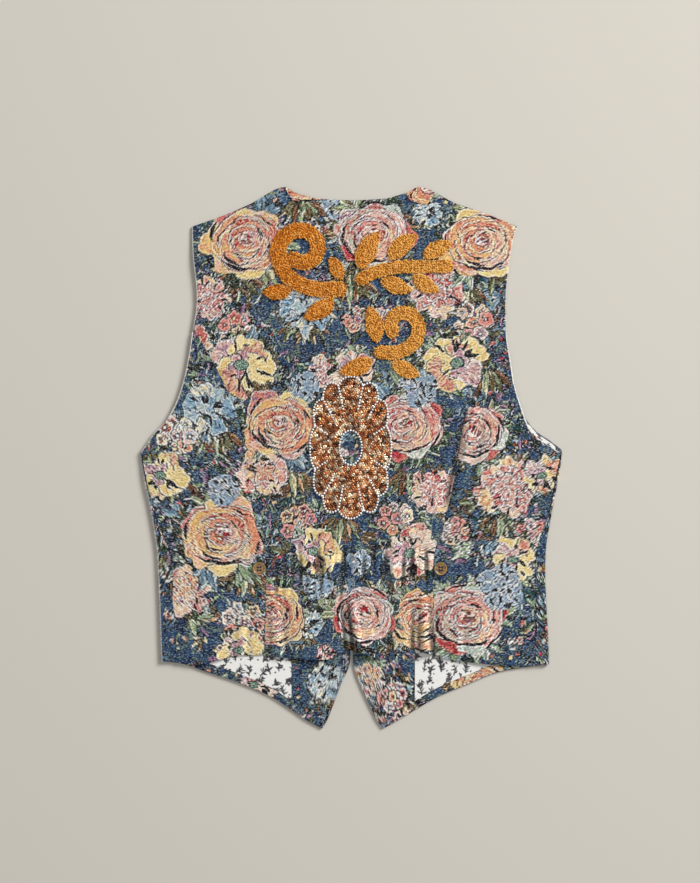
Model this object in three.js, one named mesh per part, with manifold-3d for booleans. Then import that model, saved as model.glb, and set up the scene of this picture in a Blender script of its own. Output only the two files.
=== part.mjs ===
// A woman's jacquard waistcoat, laid flat with its front on the table and its back up.
// Millimetres. +X is the wearer's right to left as seen from above, +Y points to the neck,
// +Z up, z = 0 is the table. The origin is the middle of the outline, on the table.
//
// From the table up: the two fronts, flat, their outer side down. Each front rolls over at
// the side and ends in a narrow strip on the upper face, at the side seam. On the fronts lie
// their facings and linings, where the longer fronts show below the back. The back lies on
// top: a centre panel between two princess seams, and two side panels. Embroidery, sequins
// and buttons lie on the back.
import * as THREE from "three";
import Module from "manifold-3d";

const wasm = await Module();
wasm.setup();

// ---------------------------------------------------------------- driving sizes
const CLOTH = 1.6; // jacquard with its backing
const LINING = 1.0; // lining, facing and rolled neck strips
const GAP = 0.3; // between pieces at a seam, and between layers
const ROLL = 2.6; // outer radius of the roll at each side
const BACK_Z = 3.9; // under side of the back, over the rolled sides
const ROLL_ROOM = 1.1; // more room at the seam where the roll ends on its curve
const SHOULDER_Z = CLOTH + GAP; // under side of the back at the shoulder seams
const NECK_Z = 1.0; // under side of the back at the middle of the neck
const LENGTH = 627.4; // shoulder point to the tips of the fronts
const WIDTH = 489; // underarm to underarm
const TOP_Y = LENGTH / 2;
const TIP_Y = -LENGTH / 2;
const PIT_X = WIDTH / 2;
const SHOULDER_Y = 268; // outer end of the shoulder seams
const PIT_Y = 6; // underarm point
const WAIST_Y = -128; // elastic and buttons
const HEM_CORNER_Y = -228; // foot of each princess seam
const PRINCESS_TOP_Y = 148; // where a princess seam runs into the armhole
const FRONT_NECK_Y = 60; // lowest point of the front's V neck, hidden under the back
const HEM_FACING = 10; // width of the facing along the front hem
const FACING_END_X = 200; // how far facings and linings run out towards the side
const FACING_TOP_Y = -212; // where facings and linings end, under the back hem

const CHENILLE_HIGH = 3.4;
const SEQUIN_HIGH = 1.3;
const MEDALLION = { x: -1, y: 12, halfWidth: 47, halfHeight: 82, fullness: 0.8, scallops: 12, notch: 0.1 };
const WINDOW = { halfWidth: 13, halfHeight: 20 };
const BUTTON = { radius: 7.65, thick: 3.2, rim: 1.5, rimDrop: 0.9, holeRadius: 0.95, holeRing: 1.9 };

// ---------------------------------------------------------------- small helpers
/** Rows of numbers under named columns. */
function table(names, rows) {
  const keys = names.split(" ");
  return rows.map((row) => Object.fromEntries(keys.map((key, i) => [key, row[i]])));
}

const lerp = THREE.MathUtils.lerp;
const smoothstep = THREE.MathUtils.smoothstep;
const range = (count) => Array.from({ length: count + 1 }, (_, i) => i / count);

/** A smooth curve through a table's rows, with no overshoot: value(at) for the two columns named. */
function curve(rows, at, value) {
  const sorted = [...rows].sort((a, b) => a[at] - b[at]);
  const xs = sorted.map((row) => row[at]);
  const ys = sorted.map((row) => row[value]);
  const rise = ys.slice(1).map((y, i) => (y - ys[i]) / (xs[i + 1] - xs[i]));
  const slopes = ys.map((_, i) => {
    if (i === 0) return rise[0];
    if (i === ys.length - 1) return rise[i - 1];
    const [before, after] = [rise[i - 1], rise[i]];
    return before * after <= 0 ? 0 : (2 * before * after) / (before + after);
  });
  return (x) => {
    const last = xs.length - 2;
    const i = Math.min(last, Math.max(0, xs.findIndex((edge) => edge > x) - 1));
    const k = x >= xs[last + 1] ? last : i;
    const span = xs[k + 1] - xs[k];
    const t = THREE.MathUtils.clamp((x - xs[k]) / span, 0, 1);
    const [t2, t3] = [t * t, t * t * t];
    return (
      (2 * t3 - 3 * t2 + 1) * ys[k] +
      (t3 - 2 * t2 + t) * span * slopes[k] +
      (3 * t2 - 2 * t3) * ys[k + 1] +
      (t3 - t2) * span * slopes[k + 1]
    );
  };
}

/** A closed wall: under(u, v) and over(u, v) give its two faces over a grid of parameters. */
function wall(us, vs, under, over) {
  const across = us.length;
  const up = vs.length;
  const points = [];
  for (const face of [over, under])
    for (const v of vs)
      for (const u of us) points.push(...face(u, v));
  const index = [];
  const quad = (a, b, c, d) => index.push(a, b, c, a, c, d);
  const at = (layer, i, j) => layer * across * up + j * across + i;
  for (let j = 0; j < up - 1; j++)
    for (let i = 0; i < across - 1; i++) {
      quad(at(0, i, j), at(0, i + 1, j), at(0, i + 1, j + 1), at(0, i, j + 1));
      quad(at(1, i, j), at(1, i, j + 1), at(1, i + 1, j + 1), at(1, i + 1, j));
    }
  for (let i = 0; i < across - 1; i++) {
    quad(at(1, i, 0), at(1, i + 1, 0), at(0, i + 1, 0), at(0, i, 0));
    quad(at(0, i, up - 1), at(0, i + 1, up - 1), at(1, i + 1, up - 1), at(1, i, up - 1));
  }
  for (let j = 0; j < up - 1; j++) {
    quad(at(0, 0, j), at(0, 0, j + 1), at(1, 0, j + 1), at(1, 0, j));
    quad(at(1, across - 1, j), at(1, across - 1, j + 1), at(0, across - 1, j + 1), at(0, across - 1, j));
  }
  return closed(points, index);
}

/** A geometry from points and triangles, turned so that its faces point out. */
function closed(points, index) {
  const corner = (k) => new THREE.Vector3().fromArray(points, 3 * index[k]);
  let volume = 0;
  for (let k = 0; k < index.length; k += 3) {
    volume += corner(k).dot(corner(k + 1).cross(corner(k + 2)));
  }
  if (volume < 0)
    for (let k = 0; k < index.length; k += 3) [index[k], index[k + 1]] = [index[k + 1], index[k]];
  const geometry = new THREE.BufferGeometry();
  geometry.setAttribute("position", new THREE.Float32BufferAttribute(points, 3));
  geometry.setIndex(index);
  return geometry;
}

/** A wall of one thickness on a height function, between two sides (x at y) and a hem and top (y at x). */
function panel({ left, right, bottom, top, us, vs, height, thick }) {
  const cornerY = {
    left: [bottom.y(bottom.x0), top.y(top.x0)],
    right: [bottom.y(bottom.x1), top.y(top.x1)],
  };
  const place = (u, v) => {
    const x = lerp(left(lerp(...cornerY.left, v)), right(lerp(...cornerY.right, v)), u);
    const y = lerp(bottom.y(lerp(bottom.x0, bottom.x1, u)), top.y(lerp(top.x0, top.x1, u)), v);
    return [x, y];
  };
  const face = (lift) => (u, v) => {
    const [x, y] = place(u, v);
    return [x, y, height(x, y) + lift];
  };
  return wall(us, vs, face(0), face(thick));
}

/** A wall between a lower and an upper line, both y at x. */
function strip({ xs, lower, upper, rows, height, thick }) {
  const face = (lift) => (x, v) => {
    const y = lerp(lower(x), upper(x), v);
    return [x, y, height(x, y) + lift];
  };
  return wall(xs, range(rows), face(0), face(thick));
}

// ---------------------------------------------------------------- the outline
const NECKLINE = table("x y", [
  [-77, TOP_Y], [-69, 309], [-55, 304], [-37, 300.5], [0, 298.7],
  [39, 300.5], [53, 304], [67, 308.6], [77, TOP_Y],
]);
const SHOULDERS = {
  left: table("x y", [[-185, SHOULDER_Y], [-148, 281], [-118, 294], [-77, TOP_Y]]),
  right: table("x y", [[77, TOP_Y], [121, 295], [161, 281], [192.5, SHOULDER_Y]]),
};
const TOP_EDGE = curve([...SHOULDERS.left.slice(0, -1), ...NECKLINE, ...SHOULDERS.right.slice(1)], "x", "y");

// Armholes of the back, from the underarm to the shoulder.
const BACK_ARMHOLE = {
  left: table("y x", [
    [PIT_Y, -PIT_X], [16, -237], [29, -228], [44, -214], [72, -200], [100, -192],
    [141, -185], [185, -179], [239, -184], [SHOULDER_Y, -185],
  ]),
  right: table("y x", [
    [PIT_Y, PIT_X - 2], [12, 232], [24, 215], [35, 206], [58, 197], [86, 188.5],
    [114, 184], [141, 180], [176, 179], [225, 183], [257, 188.5], [SHOULDER_Y, 192.5],
  ]),
};
// Armholes of the fronts: on the right the front stands a little past the back.
const FRONT_ARMHOLE = {
  left: table("y x", [
    [16, -236], [29, -227], [44, -213], [72, -199], [100, -191],
    [141, -184], [185, -178], [239, -183], [SHOULDER_Y, -185],
  ]),
  right: table("y x", [
    [9, PIT_X - 0.5], [20, 230], [30, 215], [44, 203], [58, 197], [86, 187.5],
    [114, 183], [141, 179], [176, 178], [225, 182], [257, 187.5], [SHOULDER_Y, 192.5],
  ]),
};
// Where the fronts roll over, from the hem to the underarm.
const SIDE_FOLD = {
  left: table("y x", [
    [-235.5, -221], [-206, -222], [-137, -224.5], [-109, -226], [-81, -230],
    [-53, -235], [-25, -241], [PIT_Y, -PIT_X],
  ]),
  right: table("y x", [
    [-239, 229], [-199.5, 227.5], [-165, 225.6], [-130, 224.5], [-102, 225.6],
    [-81, 229], [-53, 234], [-25, 239.5], [PIT_Y, PIT_X],
  ]),
};
const SIDE_SEAM = {
  left: table("y x", [
    [-235.5, -203], [-199, -203], [-165, -207], [-130, -207], [-101, -213],
    [-83, -221], [-60, -227], [-25, -238.5], [PIT_Y, -PIT_X + 0.5],
  ]),
  right: table("y x", [
    [-239, 213], [-165, 212], [-130, 213], [-101, 216], [-80, 223],
    [-58, 231], [-22, 237.5], [PIT_Y, PIT_X - 0.5],
  ]),
};
const PRINCESS = {
  left: table("y x", [
    [HEM_CORNER_Y, -101], [-130, -99], [-111, -99], [-85, -108.5], [-48, -117], [-20, -123.5],
    [37, -129], [64, -137.5], [116, -163], [PRINCESS_TOP_Y, -182],
  ]),
  right: table("y x", [
    [HEM_CORNER_Y, 94.5], [-130, 94.5], [-111, 96], [-85, 105], [-48, 114], [-20, 120],
    [37, 129], [64, 137.5], [116, 162], [PRINCESS_TOP_Y, 177.5],
  ]),
};
const BACK_HEM = {
  left: table("x y", [[-221, -235.5], [-172, -239], [-155, -234], [-127, -228], [-101, HEM_CORNER_Y]]),
  centre: table("x y", [
    [-101, HEM_CORNER_Y], [-68, -232], [-28, -233], [0, -222.7], [38, -232], [66, -221], [94.5, HEM_CORNER_Y],
  ]),
  right: table("x y", [[94.5, HEM_CORNER_Y], [113, -233], [149, -238], [180, -240], [229, -240]]),
};
// Front hems, from the side to the tip at the front edge.
const FRONT_HEM = {
  left: table("x y", [
    [-221, -235.5], [-199, -238], [-168, -248], [-127, -262], [-94.5, -276],
    [-72.5, -290], [-52, -304], [-34, TIP_Y],
  ]),
  right: table("x y", [
    [36.5, TIP_Y], [54, -304], [77, -290], [101.5, -276], [135, -262],
    [170, -248], [190, -244], [229, -239],
  ]),
};
// Front edges, from the tip up to the V neck and the shoulder point.
const FRONT_EDGE = {
  left: table("y x", [
    [TIP_Y, -34], [-304, -28], [-290, -22.6], [-262, -12], [-236, -1.7],
    [-200, -0.6], [FRONT_NECK_Y, -0.6], [140, -24], [TOP_Y, -77],
  ]),
  right: table("y x", [
    [TIP_Y, 36.5], [-304, 29.6], [-290, 22.6], [-262, 10], [-236, 1.7],
    [-200, 0.6], [FRONT_NECK_Y, 0.6], [140, 24], [TOP_Y, 77],
  ]),
};
// Where the wide front facing ends and the lining begins.
const FACING_EDGE_X = { left: -69, right: 73 };

// ---------------------------------------------------------------- how the back lies
// A fold is a ridge that rises from its faded end to its full end. left and right are its
// half widths at the full end: a narrow left with a wide right is a fold that leans left.
const FOLDS = table("fadeX fadeY fullX fullY left right height", [
  [-52, -150, -46, -243, 40, 34, 5.0],
  [0, -142, 13, -243, 11, 40, 7.5],
  [84, -140, 85, -243, 12, 13, 5.0],
  [-88, -138, -84, -243, 12, 14, 3.0],
  [-86, -88, -84, -124, 11, 11, 2.6],
  [-53, -84, -51, -124, 13, 12, 3.2],
  [-24, -96, -24, -124, 12, 12, 2.0],
  [10, -80, 7, -124, 12, 14, 3.4],
  [56, -88, 53, -124, 14, 12, 3.0],
  [150, -150, 158, -243, 30, 26, 2.2],
  [-150, -140, -160, -243, 28, 30, 2.2],
]);
const FOLD_END = 22; // how far a fold takes to die out past its full end
const SWELL = { y: 90, height: 1.8, halfWidth: 165, halfHeight: 170 };

function foldHeight(fold, x, y) {
  const t = (y - fold.fadeY) / (fold.fullY - fold.fadeY);
  if (t <= 0) return 0;
  const past = Math.max(0, Math.abs(y - fold.fadeY) - Math.abs(fold.fullY - fold.fadeY));
  const strength = smoothstep(t, 0, 1) * (1 - smoothstep(past, 0, FOLD_END));
  const along = Math.min(t, 1);
  const offset = x - lerp(fold.fadeX, fold.fullX, along);
  const reach = (offset < 0 ? fold.left : fold.right) * lerp(0.6, 1, along);
  const across = Math.abs(offset) / reach;
  return across < 1 ? fold.height * strength * 0.5 * (1 + Math.cos(Math.PI * across)) : 0;
}

/** Height of the back's under side. */
function backHeight(x, y) {
  const shoulder = 1 - smoothstep(TOP_EDGE(x) - y, 0, 55);
  const neck = smoothstep(y, 235, 297) * (1 - smoothstep(Math.abs(x), 30, 62));
  const lying = lerp(lerp(BACK_Z, SHOULDER_Z, shoulder), NECK_Z, neck);
  const offCentre = Math.hypot(x / SWELL.halfWidth, (y - SWELL.y) / SWELL.halfHeight);
  const swell = SWELL.height * (1 - smoothstep(offCentre, 0, 1));
  return FOLDS.reduce((sum, fold) => sum + foldHeight(fold, x, y), lying + swell);
}

const onBack = (x, y) => backHeight(x, y) + CLOTH + GAP;
const onFront = () => CLOTH + GAP;

// ---------------------------------------------------------------- materials
const cloth = (colour, roughness = 0.9) =>
  new THREE.MeshStandardMaterial({ color: colour, roughness, metalness: 0 });
const MATERIALS = {
  jacquard: () => cloth(0x5a6480),
  facing: () => cloth(0x6a6a80),
  lining: () => cloth(0xece9e2),
  chenille: () => cloth(0xd8922a, 1),
  sequins: () => new THREE.MeshStandardMaterial({ color: 0x96552a, roughness: 0.3, metalness: 0.7 }),
  horn: () => cloth(0x4a4428, 0.4),
};
const vest = new THREE.Group();

function add(name, geometry, finish) {
  const mesh = new THREE.Mesh(geometry, MATERIALS[finish]());
  mesh.name = name;
  vest.add(mesh);
}

// ---------------------------------------------------------------- back panels
const levels = (yBottom, yTop, ys) => ys.map((y) => (y - yBottom) / (yTop - yBottom));

// Rows up a princess seam, shared by the panels on its two sides so that they stay apart.
const SIDE_TOP_Y = PRINCESS_TOP_Y - 2;
const SEAM_ROWS = [HEM_CORNER_Y, -212, -196, -180, -164, -150, -138, -128, -116, -102, -88, -74, -58,
  -40, -20, -6, PIT_Y, 12, 20, 32, 48, 70, 95, 120, SIDE_TOP_Y];
const SIDE_LEVELS = levels(HEM_CORNER_Y, SIDE_TOP_Y, SEAM_ROWS);
const FOOT_Y = { left: -235.5, right: -239 }; // foot of each side fold

function backCentre() {
  const ys = [...SEAM_ROWS, PRINCESS_TOP_Y + 12, 184, 212, 240, SHOULDER_Y];
  const edge = (side, inset) => {
    const seam = curve(PRINCESS[side], "y", "x");
    const armhole = curve(BACK_ARMHOLE[side], "y", "x");
    return (y) => (y < PRINCESS_TOP_Y - 1 ? seam(y) : armhole(y)) + inset;
  };
  return panel({
    left: edge("left", GAP / 2),
    right: edge("right", -GAP / 2),
    bottom: { x0: -101, x1: 94.5, y: curve(BACK_HEM.centre, "x", "y") },
    top: { x0: -185, x1: 192.5, y: TOP_EDGE },
    us: range(24),
    vs: levels(HEM_CORNER_Y, SHOULDER_Y, ys),
    height: backHeight,
    thick: CLOTH,
  });
}

/** A side panel of the back, between its princess seam and the side seam with the armhole. */
function backSide(side) {
  const sign = side === "left" ? -1 : 1;
  const princess = curve(PRINCESS[side], "y", "x");
  const sideSeam = curve(SIDE_SEAM[side], "y", "x");
  const fold = curve(SIDE_FOLD[side], "y", "x");
  const armhole = curve(BACK_ARMHOLE[side], "y", "x");
  const hem = curve(BACK_HEM[side], "x", "y");
  const inner = (y) => princess(y) + (sign * GAP) / 2;
  const outer = (y) => {
    if (y > PIT_Y) return armhole(y);
    const shown = sign * (fold(y) - sideSeam(y));
    const room = GAP / 2 + ROLL_ROOM * THREE.MathUtils.clamp(ROLL + 1 - shown, 0, 1);
    return sideSeam(y) - sign * room;
  };
  return panel({
    left: inner,
    right: outer,
    bottom: { x0: PRINCESS[side][0].x, x1: outer(FOOT_Y[side]), y: hem },
    top: { x0: 0, x1: 1, y: () => SIDE_TOP_Y },
    us: range(7),
    vs: SIDE_LEVELS,
    height: backHeight,
    thick: CLOTH,
  });
}

// ---------------------------------------------------------------- fronts
/** A front: flat on the table, rolled over at the side, and a strip of it on the upper face. */
function front(side) {
  const sign = side === "left" ? -1 : 1;
  const edge = curve(FRONT_EDGE[side], "y", "x");
  const fold = curve(SIDE_FOLD[side], "y", "x");
  const armhole = curve(FRONT_ARMHOLE[side], "y", "x");
  const seam = curve(SIDE_SEAM[side], "y", "x");
  const hem = curve(FRONT_HEM[side], "x", "y");
  const footY = FOOT_Y[side];
  const pitTop = side === "left" ? 16 : 9;
  const outer = (y) => (y < PIT_Y ? fold(y) : lerp(fold(y), armhole(y), smoothstep(y, PIT_Y, pitTop)));
  const tipX = Math.abs(edge(TIP_Y));
  const footX = Math.abs(fold(footY));
  const flatCount = 4;
  const rollCount = 4;
  const stripCount = 2;
  const columns = Array.from({ length: flatCount + rollCount + stripCount + 1 }, (_, i) => i);
  const ys = [...SIDE_LEVELS.map((v) => lerp(footY, SIDE_TOP_Y, v)), 185, 225, SHOULDER_Y];

  const face = (lift) => (column, v) => {
    const sideY = lerp(footY, SHOULDER_Y, v);
    const out = Math.abs(outer(sideY));
    const rolled = 1 - smoothstep(sideY, 3, pitTop);
    const flatEnd = out - lerp(1, ROLL, rolled);
    if (column <= flatCount) {
      const u = column / flatCount;
      const foot = lerp(tipX, footX - ROLL, u);
      const top = lerp(Math.abs(NECKLINE[0].x), Math.abs(armhole(SHOULDER_Y)), u);
      const y = lerp(hem(sign * foot), TOP_EDGE(sign * top), v);
      return [sign * lerp(Math.abs(edge(lerp(TIP_Y, TOP_Y, v))), flatEnd, u), y, lift];
    }
    const shown = Math.max(0, out - Math.abs(seam(Math.min(sideY, PIT_Y))));
    const turn = shown < ROLL ? Math.acos(1 - shown / ROLL) : Math.PI / 2;
    const roll = Math.min(1, (column - flatCount) / rollCount);
    const along = Math.max(0, (column - flatCount - rollCount) / stripCount);
    const angle = lerp(-Math.PI / 2, turn, roll);
    const radius = ROLL - lift;
    const stripLength = Math.max(shown - ROLL - GAP / 2, 0.3);
    const wrapped = {
      x: out - ROLL + radius * Math.cos(angle) - along * stripLength * Math.sin(turn),
      z: ROLL + radius * Math.sin(angle) + along * stripLength * Math.cos(turn),
    };
    const flat = { x: flatEnd + 0.6 * roll + 0.4 * along, z: lift };
    return [sign * lerp(flat.x, wrapped.x, rolled), sideY, lerp(flat.z, wrapped.z, rolled)];
  };
  return wall(columns, levels(footY, SHOULDER_Y, ys), face(0), face(CLOTH));
}

// ---------------------------------------------------------------- facings and linings
/** The inside of a front where it shows below the back: the lower outline, y at x. */
function frontLower(side) {
  const hem = curve(FRONT_HEM[side], "x", "y");
  const edge = curve(FRONT_EDGE[side].map(({ y, x }) => ({ x, y })).filter(({ y }) => y <= -200), "x", "y");
  const tipX = FRONT_EDGE[side][0].x;
  return (x) => (Math.abs(x) > Math.abs(tipX) ? hem(x) : edge(x)) + 0.5;
}

const steps = (from, to, count) => range(count).map((t) => lerp(from, to, t));

function frontFacing(side) {
  const sign = side === "left" ? -1 : 1;
  const lower = frontLower(side);
  const corner = FACING_EDGE_X[side];
  const tipX = FRONT_EDGE[side][0].x;
  const xs = [
    ...steps(FACING_END_X * sign, corner, 6).slice(0, -1),
    corner + sign * 0.2,
    ...steps(corner, tipX, 3),
    ...steps(tipX, sign * 2.4, 5).slice(1),
  ];
  const upper = (x) => (Math.abs(x) > Math.abs(corner) ? lower(x) + HEM_FACING : FACING_TOP_Y);
  return strip({ xs, lower, upper, rows: 1, height: onFront, thick: LINING });
}

function frontLining(side) {
  const sign = side === "left" ? -1 : 1;
  const lower = frontLower(side);
  const corner = FACING_EDGE_X[side];
  const xs = [...steps(FACING_END_X * sign, corner, 6).slice(0, -1), corner + sign * (GAP + 0.2)];
  return strip({
    xs,
    lower: (x) => lower(x) + HEM_FACING + GAP,
    upper: () => FACING_TOP_Y,
    rows: 1,
    height: onFront,
    thick: LINING,
  });
}

/** The sliver of lining at the right armhole, on the front, past the back's edge. */
function armholeLining() {
  const upper = curve(table("x y", [[205, 39.5], [215, 28.4], [230, 18], [239, 10.8]]), "x", "y");
  const lower = curve(table("x y", [[205, 27], [215, 15], [230, 6], [239, 1]]), "x", "y");
  return strip({ xs: steps(205, 239, 7), lower, upper, rows: 2, height: onFront, thick: LINING });
}

// ---------------------------------------------------------------- rolled neck strips
const NECK_ROLL = {
  left: {
    x0: -76.5,
    x1: -31,
    lower: table("x y", [[-76.5, 311.5], [-66.5, 298], [-50, 299.2], [-31, 299.2]]),
  },
  right: {
    x0: 64,
    x1: 95,
    lower: table("x y", [[64, 304.6], [69, 298], [78, 295], [87, 294], [95, 304.4]]),
  },
};

function neckRoll(side) {
  const { x0, x1, lower } = NECK_ROLL[side];
  return strip({
    xs: steps(x0, x1, 9),
    lower: curve(lower, "x", "y"),
    upper: (x) => TOP_EDGE(x) - 0.2,
    rows: 2,
    height: onBack,
    thick: LINING,
  });
}

// ---------------------------------------------------------------- chenille ornament
// A stem starts at x, y in the direction heading (degrees from +X) and turns by bendStart
// degrees for each mm at its start and bendEnd at its end. It is even, with round ends.
const STEMS = table("name x y heading length bendStart bendEnd width", [
  ["scroll_upper", -6, 196, 186, 222, -0.1, -3.9, 17],
  ["wave_upper", 6, 203, 40, 116, -0.95, 0.35, 14],
  ["scroll_lower", 26, 124, -14, 134, 0.5, 4.8, 15],
]);
// A leaf grows beside a stem: at t along it, on its left (1) or right (-1), leaning out by angle.
const LEAVES = table("stem at side angle length width bend", [
  ["scroll_upper", 0.07, 1, 46, 42, 20, -0.9],
  ["scroll_upper", 0.27, 1, 44, 34, 17, -0.6],
  ["scroll_upper", 0.02, -1, 72, 30, 15, 0.3],
  ["wave_upper", 0.1, 1, 54, 50, 22, -0.9],
  ["wave_upper", 0.38, 1, 54, 44, 20, -1.1],
  ["wave_upper", 0.7, 1, 46, 38, 18, -1.1],
  ["wave_upper", 0.26, -1, 54, 38, 18, 1.0],
  ["wave_upper", 0.6, -1, 50, 36, 17, 1.0],
  ["scroll_lower", 0.0, 1, 100, 44, 20, 0.9],
  ["scroll_lower", 0.0, -1, 128, 42, 19, -0.9],
  ["scroll_lower", 0.16, -1, 46, 36, 17, 0.9],
]);
const LEAF_GAP = 2.2; // from a stem's edge to the foot of a leaf

/** Half width of a stroke at t, from 0 at its start to 1 at its end. */
function strokeHalf({ length, width, pointed }, t) {
  if (pointed) return 0.5 * width * Math.sin(Math.PI * t ** 0.85) ** 0.8 + 0.4;
  const near = (Math.min(t, 1 - t) * length * 2) / width;
  return near >= 1 ? 0.5 * width : 0.5 * width * Math.sqrt(1 - (1 - near) ** 2) + 0.4;
}

/** Points of a stroke's middle line at rising places t: where it is, and the direction across it. */
function strokeLine(stroke, places) {
  const step = 0.5;
  let { x, y } = stroke;
  let heading = THREE.MathUtils.degToRad(stroke.heading);
  let gone = 0;
  return places.map((t) => {
    while (gone < t * stroke.length) {
      const stretch = Math.min(step, t * stroke.length - gone);
      const bend = lerp(stroke.bendStart, stroke.bendEnd, gone / stroke.length);
      heading += THREE.MathUtils.degToRad(bend) * stretch;
      x += Math.cos(heading) * stretch;
      y += Math.sin(heading) * stretch;
      gone += Math.max(stretch, 1e-9);
    }
    return { t, x, y, acrossX: -Math.sin(heading), acrossY: Math.cos(heading) };
  });
}

/** Stems and leaves as strokes: a leaf is widest before its middle and pointed at both ends. */
function chenilleStrokes() {
  const stems = STEMS.map((stem) => ({ ...stem, pointed: false }));
  const leaves = LEAVES.map((leaf, i) => {
    const stem = stems.find(({ name }) => name === leaf.stem);
    const [foot] = strokeLine(stem, [leaf.at]);
    const away = leaf.side * (stem.width / 2 + LEAF_GAP);
    const heading = THREE.MathUtils.radToDeg(Math.atan2(-foot.acrossX, foot.acrossY));
    return {
      name: `leaf_${i + 1}`,
      x: foot.x + foot.acrossX * away,
      y: foot.y + foot.acrossY * away,
      heading: heading + leaf.side * leaf.angle,
      length: leaf.length,
      bendStart: leaf.bend,
      bendEnd: leaf.bend / 2,
      width: leaf.width,
      pointed: true,
    };
  });
  return [...stems, ...leaves];
}

function chenille(stroke) {
  const end = stroke.width / 2 / stroke.length;
  const ends = stroke.pointed ? [] : [0.1 * end, 0.4 * end];
  const middle = range(Math.max(6, Math.round(stroke.length / 8)));
  const places = [0, ...ends, ...middle.slice(1, -1), ...ends.map((t) => 1 - t).reverse(), 1];
  const line = strokeLine(stroke, places);
  const face = (lift, inset) => (t, v) => {
    const point = line[places.indexOf(t)];
    const half = strokeHalf(stroke, point.t);
    const reach = (2 * v - 1) * Math.max(half - inset, 0.3);
    const [x, y] = [point.x + point.acrossX * reach, point.y + point.acrossY * reach];
    return [x, y, onBack(x, y) + lift * (1 - inset * 0.1 * Math.abs(2 * v - 1))];
  };
  return wall(places, range(2), face(0, 0), face(CHENILLE_HIGH, 1));
}

// ---------------------------------------------------------------- sequin medallion
/** Outline of the medallion, a full tall oval with scallops all round, at an angle. */
function medallion(angle) {
  const full = (value) => Math.sign(value) * Math.abs(value) ** MEDALLION.fullness;
  const scallop = 1 - MEDALLION.notch * (1 - Math.abs(Math.cos((MEDALLION.scallops / 2) * angle)));
  return [
    MEDALLION.halfWidth * scallop * full(Math.cos(angle)),
    MEDALLION.halfHeight * scallop * full(Math.sin(angle)),
  ];
}

function sequinMedallion() {
  const around = 72;
  const across = 2;
  const points = [];
  for (const lift of [SEQUIN_HIGH, 0])
    for (let i = 0; i < around; i++)
      for (let j = 0; j <= across; j++) {
        const angle = (2 * Math.PI * i) / around;
        const [outX, outY] = medallion(angle);
        const inX = WINDOW.halfWidth * Math.cos(angle);
        const inY = WINDOW.halfHeight * Math.sin(angle);
        const x = MEDALLION.x + lerp(inX, outX, j / across);
        const y = MEDALLION.y + lerp(inY, outY, j / across);
        points.push(x, y, onBack(x, y) + lift);
      }
  const at = (layer, i, j) => (layer * around + (i % around)) * (across + 1) + j;
  const index = [];
  const quad = (a, b, c, d) => index.push(a, b, c, a, c, d);
  for (let i = 0; i < around; i++) {
    for (let j = 0; j < across; j++) {
      quad(at(0, i, j), at(0, i, j + 1), at(0, i + 1, j + 1), at(0, i + 1, j));
      quad(at(1, i, j), at(1, i + 1, j), at(1, i + 1, j + 1), at(1, i, j + 1));
    }
    quad(at(1, i, 0), at(0, i, 0), at(0, i + 1, 0), at(1, i + 1, 0));
    quad(at(0, i, across), at(1, i, across), at(1, i + 1, across), at(0, i + 1, across));
  }
  return closed(points, index);
}

// ---------------------------------------------------------------- buttons
const BUTTONS = table("side x y", [
  ["left", -106.7, WAIST_Y],
  ["right", 103.2, WAIST_Y],
]);

function solid(geometry) {
  const vertices = geometry.getAttribute("position").array;
  const mesh = new wasm.Mesh({ numProp: 3, vertProperties: vertices, triVerts: new Uint32Array(geometry.index.array) });
  return new wasm.Manifold(mesh);
}

function surface(body) {
  const mesh = body.getMesh();
  const geometry = new THREE.BufferGeometry();
  geometry.setAttribute("position", new THREE.BufferAttribute(mesh.vertProperties, 3));
  geometry.setIndex(new THREE.BufferAttribute(mesh.triVerts, 1));
  return geometry;
}

/** A closed body turned from a profile of radius and height, starting and ending on the axis. */
function turned(profile, sides, x, y, z) {
  const points = [];
  const index = [];
  const rings = profile.slice(1, -1);
  points.push(x, y, z + profile[0][1]);
  for (const [radius, high] of rings)
    for (let i = 0; i < sides; i++) {
      const angle = (2 * Math.PI * i) / sides;
      points.push(x + radius * Math.cos(angle), y + radius * Math.sin(angle), z + high);
    }
  points.push(x, y, z + profile[profile.length - 1][1]);
  const at = (ring, i) => 1 + ring * sides + (i % sides);
  const last = 1 + rings.length * sides;
  for (let i = 0; i < sides; i++) {
    index.push(0, at(0, i + 1), at(0, i));
    for (let ring = 0; ring < rings.length - 1; ring++) {
      index.push(at(ring, i), at(ring, i + 1), at(ring + 1, i + 1));
      index.push(at(ring, i), at(ring + 1, i + 1), at(ring + 1, i));
    }
    index.push(last, at(rings.length - 1, i), at(rings.length - 1, i + 1));
  }
  return closed(points, index);
}

function button({ x, y }) {
  const { radius, thick, rim, rimDrop, holeRadius, holeRing } = BUTTON;
  const under = range(12).map((t) => {
    const angle = 2 * Math.PI * t;
    return onBack(x + radius * Math.cos(angle), y + radius * Math.sin(angle));
  });
  const z = Math.max(...under, onBack(x, y));
  const profile = [
    [0, 0], [radius - 1.2, 0], [radius, 1], [radius, thick - 0.8], [radius - 0.5, thick],
    [radius - rim, thick], [radius - rim - 0.6, thick - rimDrop], [0, thick - rimDrop],
  ];
  const holes = [45, 135, 225, 315].map((degrees) => {
    const angle = THREE.MathUtils.degToRad(degrees);
    const [hx, hy] = [x + holeRing * Math.cos(angle), y + holeRing * Math.sin(angle)];
    const bore = [[0, -1], [holeRadius, -1], [holeRadius, thick + 1], [0, thick + 1]];
    return solid(turned(bore, 10, hx, hy, z));
  });
  return surface(holes.reduce((body, hole) => body.subtract(hole), solid(turned(profile, 28, x, y, z))));
}

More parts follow.
